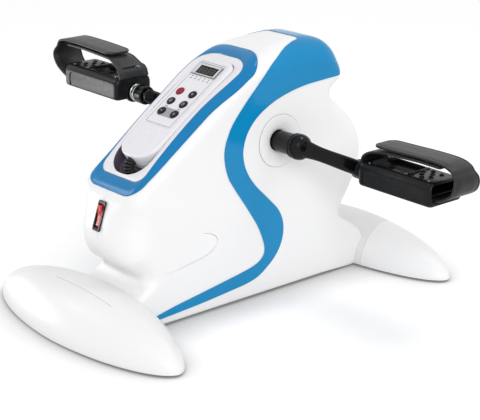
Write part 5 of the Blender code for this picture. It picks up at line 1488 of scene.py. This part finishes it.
def pedal_spindle(word, side):
    """The spindle with its bright washer, and the hexagon nut in the arm's eye."""
    profile = [
        (0, 241.3), (4.6, 241.3), (5.5, 240.4), (5.5, 144.4), (9.4, 144.4), (10.6, 144.1), (11, 143.4),
        (11, 141.4), (10.2, 140.6), (10.2, 139.4), (11, 138.6), (11, 136.0), (10.6, 135.2), (9.8, 134.8),
        (7, 134.8), (7, 121.5), (0, 121.5),
    ]
    place = along_x(PEDAL_AT[word], side)
    rod = turned("spindle_" + word, profile, place, CHROME, 72)
    seat(rod, "crank", "chrome", "pedal_spindle_" + word)
    turns = [math.radians(60 * k + d) for k in range(6) for d in (-2, 2)]
    loops = []
    for h, corner in ((123, 8.6), (114.6, 8.6), (113.8, 8.3), (113.3, 7.5)):
        loops.append([at(place, corner * math.cos(t), corner * math.sin(t), h) for t in turns])
    seat(loft("spindle_nut_" + word, loops, PAINTED), "crank", "black_painted_steel")


# Pedals and straps: x outboard, z up from the spindle


STUDS = ((221, -13), (223, 4), (229, -5), (231, 12), (236, -13), (238, 3), (244, -6), (246, 10))
RIVETS = ((252, -18), (252, 18), (159, -19), (159, 19))
PEDAL_START = 147.4
PEDAL_END = 263.3
STRAP_TOP = {"left": 47.0, "right": 42.4}
STRAP_TIP = {"left": 174.0, "right": 160.5}


def pedal_frame(word, side):
    """A frame at the spindle whose X runs outboard, so that one side mirrors the other."""
    return Matrix.Translation(PEDAL_AT[word]) @ Matrix.Diagonal((side, 1, 1, 1))


def pedal_ring(x, in_y, in_z):
    """The pedal's rounded section at x, drawn in by so much on each side."""
    top_radius = 10
    low_radius = 5
    top = (28 - in_y - top_radius, 20 - in_z - top_radius, top_radius)
    low = (28 - in_y - low_radius, -9 + in_z + low_radius, low_radius)
    corners = (top, (-top[0], *top[1:]), (-low[0], *low[1:]), low)
    return [(x, y, z) for y, z in corner_arcs(corners, 8)]


def xz_prism(place, outline, start, end):
    """An outline of (x, z), drawn out along Y from start to end."""
    loops = [[at(place, x, y, z) for x, z in outline] for y in (start, end)]
    return loft("prism", loops, BLACK)


def dish(place, x, y, z, profile, material, steps):
    """A small turned part standing on the tread."""
    return turned("dish", profile, Matrix.Translation(at(place, x, y, z)), material, steps)


def pedal_cutters(word, side):
    """The spindle's bore, the end window, the tread's dip and the side panels."""
    place = pedal_frame(word, side)
    bore = [(0, 141), (5.9, 141), (5.9, 244.3), (0, 244.3)]
    cutters = [turned("bore", bore, along_x(PEDAL_AT[word], side), BLACK, 40)]
    opening = rounded([(-24.8, 17, 5), (24.8, 17, 5), (24.8, -5.4, 11), (-24.8, -5.4, 11)], steps=8)
    loops = [[at(place, x, y, z) for y, z in opening] for x in (229, 268)]
    cutters.append(loft("window", loops, BLACK))
    sizes = [(61, 39, 11, 26)]
    for inset, rise in quarter(7):
        sizes.append((61 - 20 * inset, 39 - 20 * inset, 11 - 9 * inset, 11.7 + 8.5 * rise))
    middle = Matrix.Translation(at(place, 187.5, 0, 0))
    cutters.append(stacked("dip", rect_layers(sizes, arc=7), BLACK, middle))
    near, far = (155, 251.5) if side > 0 else (251.5, 155)
    panel = rounded([(near, -6.2, 4), (near, 12.4, 9), (far, 12.4, 17), (far, -6.2, 4)], steps=8)
    return cutters + [xz_prism(place, panel, edge * 26.9, edge * 31) for edge in (-1, 1)]


def pedal_tread(word, side):
    """The tread's studs, cups and boss, the shelf in the window and the strap's saddle."""
    place = pedal_frame(word, side)
    stud = [(1.1, 0.15), (1.4, 1.1), (1.9, 1.35), (2.5, 1.25), (2.95, 0.8), (3.1, -0.4), (1.1, -0.4)]
    parts = [dish(place, x, y, 19.95, stud, BLACK, 24) for x, y in STUDS]
    for x, y, z, r in ((206, -12.5, 15.6, 3.8), (172, 5, 11.6, 3.0)):
        cup = [(r - 1.4, 0.2), (r - 1.2, 1.2), (r - 0.6, 1.5), (r - 0.1, 1.1), (r, -3.0), (r - 1.4, -3.0)]
        parts.append(dish(place, x, y, z, cup, BLACK, 28))
    boss = [(7.2, 146.0), (11.2, 146.0), (11.5, 145.4), (12.2, 145.2), (12.9, 145.5), (13.4, 146.4)]
    boss += [(13.6, 149), (7.2, 149)]
    parts.append(turned("boss", boss, along_x(PEDAL_AT[word], side), BLACK, 56))
    shelf = rounded([(233, 2.8), (233, 4.6), (259.4, 4.6), (259.8, 3.7), (259.4, 2.8)], 0.5, 3)
    parts.append(xz_prism(place, shelf, -22, 22))
    saddle = rounded([(217.6, 17.5), (217.9, 20.9), (219.6, 21.5), (221.4, 20.9), (221.8, 17.5)], 1.2, 5)
    parts.append(xz_prism(place, saddle, -17.5, 17.5))
    return parts


def pedal(word, side):
    """The moulded pedal with its end window, tread, side panels, studs and rivets."""
    ends = (
        (0, 4.2, 2.2), (0.35, 3.1, 1.45), (0.9, 2.2, 0.95), (1.6, 1.4, 0.55), (2.6, 0.8, 0.3),
        (4, 0.3, 0.1), (5.5, 0, 0),
    )
    rings = [pedal_ring(PEDAL_START + d, y, z) for d, y, z in ends]
    rings += [pedal_ring(PEDAL_END - d, y, z) for d, y, z in reversed(ends)]
    place = pedal_frame(word, side)
    loops = [[at(place, *p) for p in ring] for ring in rings]
    shape = loft("pedal_body_" + word, loops, BLACK)
    carve(shape, pedal_cutters(word, side))
    bevel(shape, 0.6, 3, 40)
    seat(shape, "pedal_" + word, "black_plastic", "pedal_" + word)
    tread = joined("pedal_tread_" + word, pedal_tread(word, side))
    seat(tread, "pedal_" + word, "black_plastic")
    head = [(0, 0.95), (0.8, 0.9), (1.5, 0.6), (1.9, 0.1), (1.9, -0.5), (0, -0.5)]
    heads = [dish(place, x, y, 19.85 if abs(y) < 18.5 else 19.7, head, CHROME, 20) for x, y in RIVETS]
    seat(joined("pedal_rivets_" + word, heads), "pedal_" + word, "chrome")


def outer_line(word):
    """The loose strap's middle line as (x, z, half width), from the pedal's end up and back over it."""
    end = PEDAL_END
    top = STRAP_TOP[word]
    if word == "left":
        line = [(end - 16, -2.4, 21), (end - 2, -1.8, 21), (end + 14, 5.5, 22.5), (290, 13.5, 22.5)]
        line += [(296.0, 23.5, 22.5), (295.6, 31, 21.5), (293.4, 36.5, 18.5), (287.5, top - 2.2, 18.5)]
        line += [(end + 8, top + 1, 18.5)]
    else:
        line = [(end - 16, -2.5, 21), (end - 2, -2.3, 21), (end + 14, 3.8, 22.5), (288, 11.0, 22.5)]
        line += [(291.8, 20.5, 22.5), (291.2, 28, 20.5), (287.6, 33.0, 18.5), (281.5, top - 3.6, 18.5)]
        line += [(end + 3, top + 0.4, 18.5)]
    line += [(end - 28, top + 0.9, 18.5), (end - 58, top, 18.5)]
    return line + [(STRAP_TIP[word] + 12, top - 0.9, 18.5)]


def inner_line(word):
    """The fixed strap's middle line, from the top of the pedal's inner end out under the loose one."""
    under = STRAP_TOP[word] - 6.2
    line = [(146.9, 18.4, 22.6), (147.6, 21.4, 22.6)]
    if word == "left":
        line += [(149.6, 26.4, 22.6), (153.2, 30.2, 22), (157.5, 32.3, 20)]
    else:
        line += [(150.0, 26.6, 22.6), (154.8, 30.6, 21.6), (160, 32.6, 19.6)]
    line += [(172, under - 1.6, 18.8), (186, under, 18.5), (205.3, under + 0.9, 18.5)]
    return line + [(235.3, under + 2.2, 18.5), (268, under + 1.8, 18.5)]


def strap_profile(half):
    """Half widths and depths across a strap: rolled edges, and a groove inside each."""
    thick = 1.5
    edge = [(half, 0.0), (half - 0.25, thick * 0.62), (half - 0.85, thick * 0.94), (half - 1.6, thick)]
    edge += [(half - 2.5, thick), (half - 2.9, thick - 0.32), (half - 3.5, thick - 0.32)]
    edge += [(half - 3.9, thick - 0.06), (half * 0.4, thick - 0.06)]
    upper = edge + [(-y, t) for y, t in reversed(edge)]
    return upper + [(y, -t) for y, t in reversed(upper[1:-1])]


def tongue(path, radius):
    """Rounds off the free end of a strap's path."""
    x0, z0, w0 = path[-1]
    back = heading(path, len(path) - 2)
    found = []
    for narrowing, left in quarter(12)[1:]:
        share = 1 - left
        x = x0 + back.x * radius * share
        z = z0 + back.y * radius * share - 0.25 * share**2
        found.append((x, z, w0 - radius * 0.86 * narrowing))
    return path + found


def strap(name, place, path):
    """A rubber strap along its middle line, thinner at its two ends."""
    loops = []
    last = len(path) - 1
    for i, (x, z, width) in enumerate(path):
        along = heading(path, i)
        share = 0.55 if i in (0, last) else 1
        loop = []
        for y, t in strap_profile(width):
            loop.append(at(place, x - along.y * t * share, y, z + along.x * t * share))
        loops.append(loop)
    return loft(name, loops, STRAP, 50)


def straps(word, side):
    """Both halves of a pedal's strap, with the slot and its hook on the inboard slope."""
    rider = "pedal_" + word
    place = pedal_frame(word, side)
    loose = strap("strap_loose_" + word, place, tongue(open_curve(outer_line(word), 9), 12.0))
    seat(loose, rider, "black_rubber", "strap_outer_" + word)
    fixed = strap("strap_fixed_" + word, place, open_curve(inner_line(word), 9))
    lean = -side * math.radians(40)
    slope = Matrix.Translation(at(place, 152.0, -1.5, 29.0)) @ Matrix.Rotation(lean, 4, "Y")
    slot = block("slot", (4.4, 26, 16), at(slope, 0, 0, 7.2), STRAP, (0, lean, 0))
    bevel(slot, 1.6, 5)
    carve(fixed, [slot], 50)
    seat(fixed, rider, "black_rubber", "strap_inner_" + word)
    angles = [math.radians(-60 + 240 * k / 12) for k in range(13)]
    hook = [at(slope, 1.5 * math.sin(a) * side, 10.4 + 1.9 * math.cos(a), 1.0 + math.cos(a)) for a in angles]
    seat(sweep("strap_hook_" + word, hook, 0.6, CHROME), rider, "chrome")


# Mains inlet and the inner pieces


INLET_Y = 112
INLET_Z = 34


def mains_inlet():
    """A small inlet low on the left flank, with its two pins."""
    face = -(HALF + GAP) / MM - 1.5
    body = block("inlet_body", (16, 24, 17), Vector((face + 8, INLET_Y, INLET_Z)) * MM, BLACK)
    bevel(body, 0.8)
    well = block("well", (18, 16, 9), Vector((face - 1.5, INLET_Y, INLET_Z)) * MM, BLACK)
    bevel(well, 2.6, 5)
    carve(body, [well])
    seat(body, "base", "black_plastic", "power_inlet")
    profile = [(0, 6.0), (0.7, 5.8), (1.15, 5.0), (1.15, -1.0), (0, -1.0)]
    pins = []
    for y in (INLET_Y - 3.6, INLET_Y + 3.6):
        pins.append(turned("pin", profile, along_x(Vector((face + 8, y, INLET_Z)) * MM, -1), CHROME, 20))
    seat(joined("inlet_pins", pins), "base", "chrome")


INNER = {
    "base_beam": PAINTED, "crank_post": PAINTED, "front_cross_tube": PAINTED, "rear_cross_tube": PAINTED,
    "bearing_left": STEEL, "bearing_right": STEEL, "crank_axle": STEEL, "gear_motor": STEEL,
    "motor_bracket": STEEL, "motor_pulley": STEEL, "drive_belt": RUBBER, "driven_pulley": BLACK,
    "power_module": BLACK, "display_module": BLACK, "handset_board": BOARD,
}


def dress_inner():
    for node, material in INNER.items():
        thing = bpy.data.objects[node]
        for slot in thing.material_slots:
            slot.material = material


def body():
    """Both halves of the body with everything that is cut from them, and the trim."""
    opening = strip_solid("opening", [(panel_loop(0), level(h)) for h in (-80, 40)], CONSOLE_FRAME, WHITE)
    profile = [(0, 90), (30.4, 90), (30.4, -90), (0, -90)]
    hole = turned("crank_hole", profile, along_x(CRANK_AT), WHITE, 96)
    lean = (SWITCH_LEAN, 0, 0)
    slot = block("switch_slot", (11.6, 30.6, 48), SWITCH_FRAME.translation, WHITE, lean)
    beam = block("beam_slot", (46.6, 429.8, 14.6), Vector((0, 1.6, 16.3)) * MM, WHITE)
    inlet = block("inlet_slot", (30, 24.6, 17.6), Vector((-54, INLET_Y, INLET_Z)) * MM, WHITE)
    shared = [opening, hole, slot, beam]
    for word, side in SIDES:
        housing_half(word, side, shared + ([inlet] if side < 0 else []))
        band(word, side)
    drop(shared + [inlet])


curly_cord()
body()
bezel()
tray()
handset_shells()
label()
display()
keys()
printed_marks()
rocker_switch()
feet()
lip_lines()
crank_covers()
for word, side in SIDES:
    crank_arm(word, side)
    pedal_spindle(word, side)
    pedal(word, side)
    straps(word, side)
mains_inlet()
dress_inner()
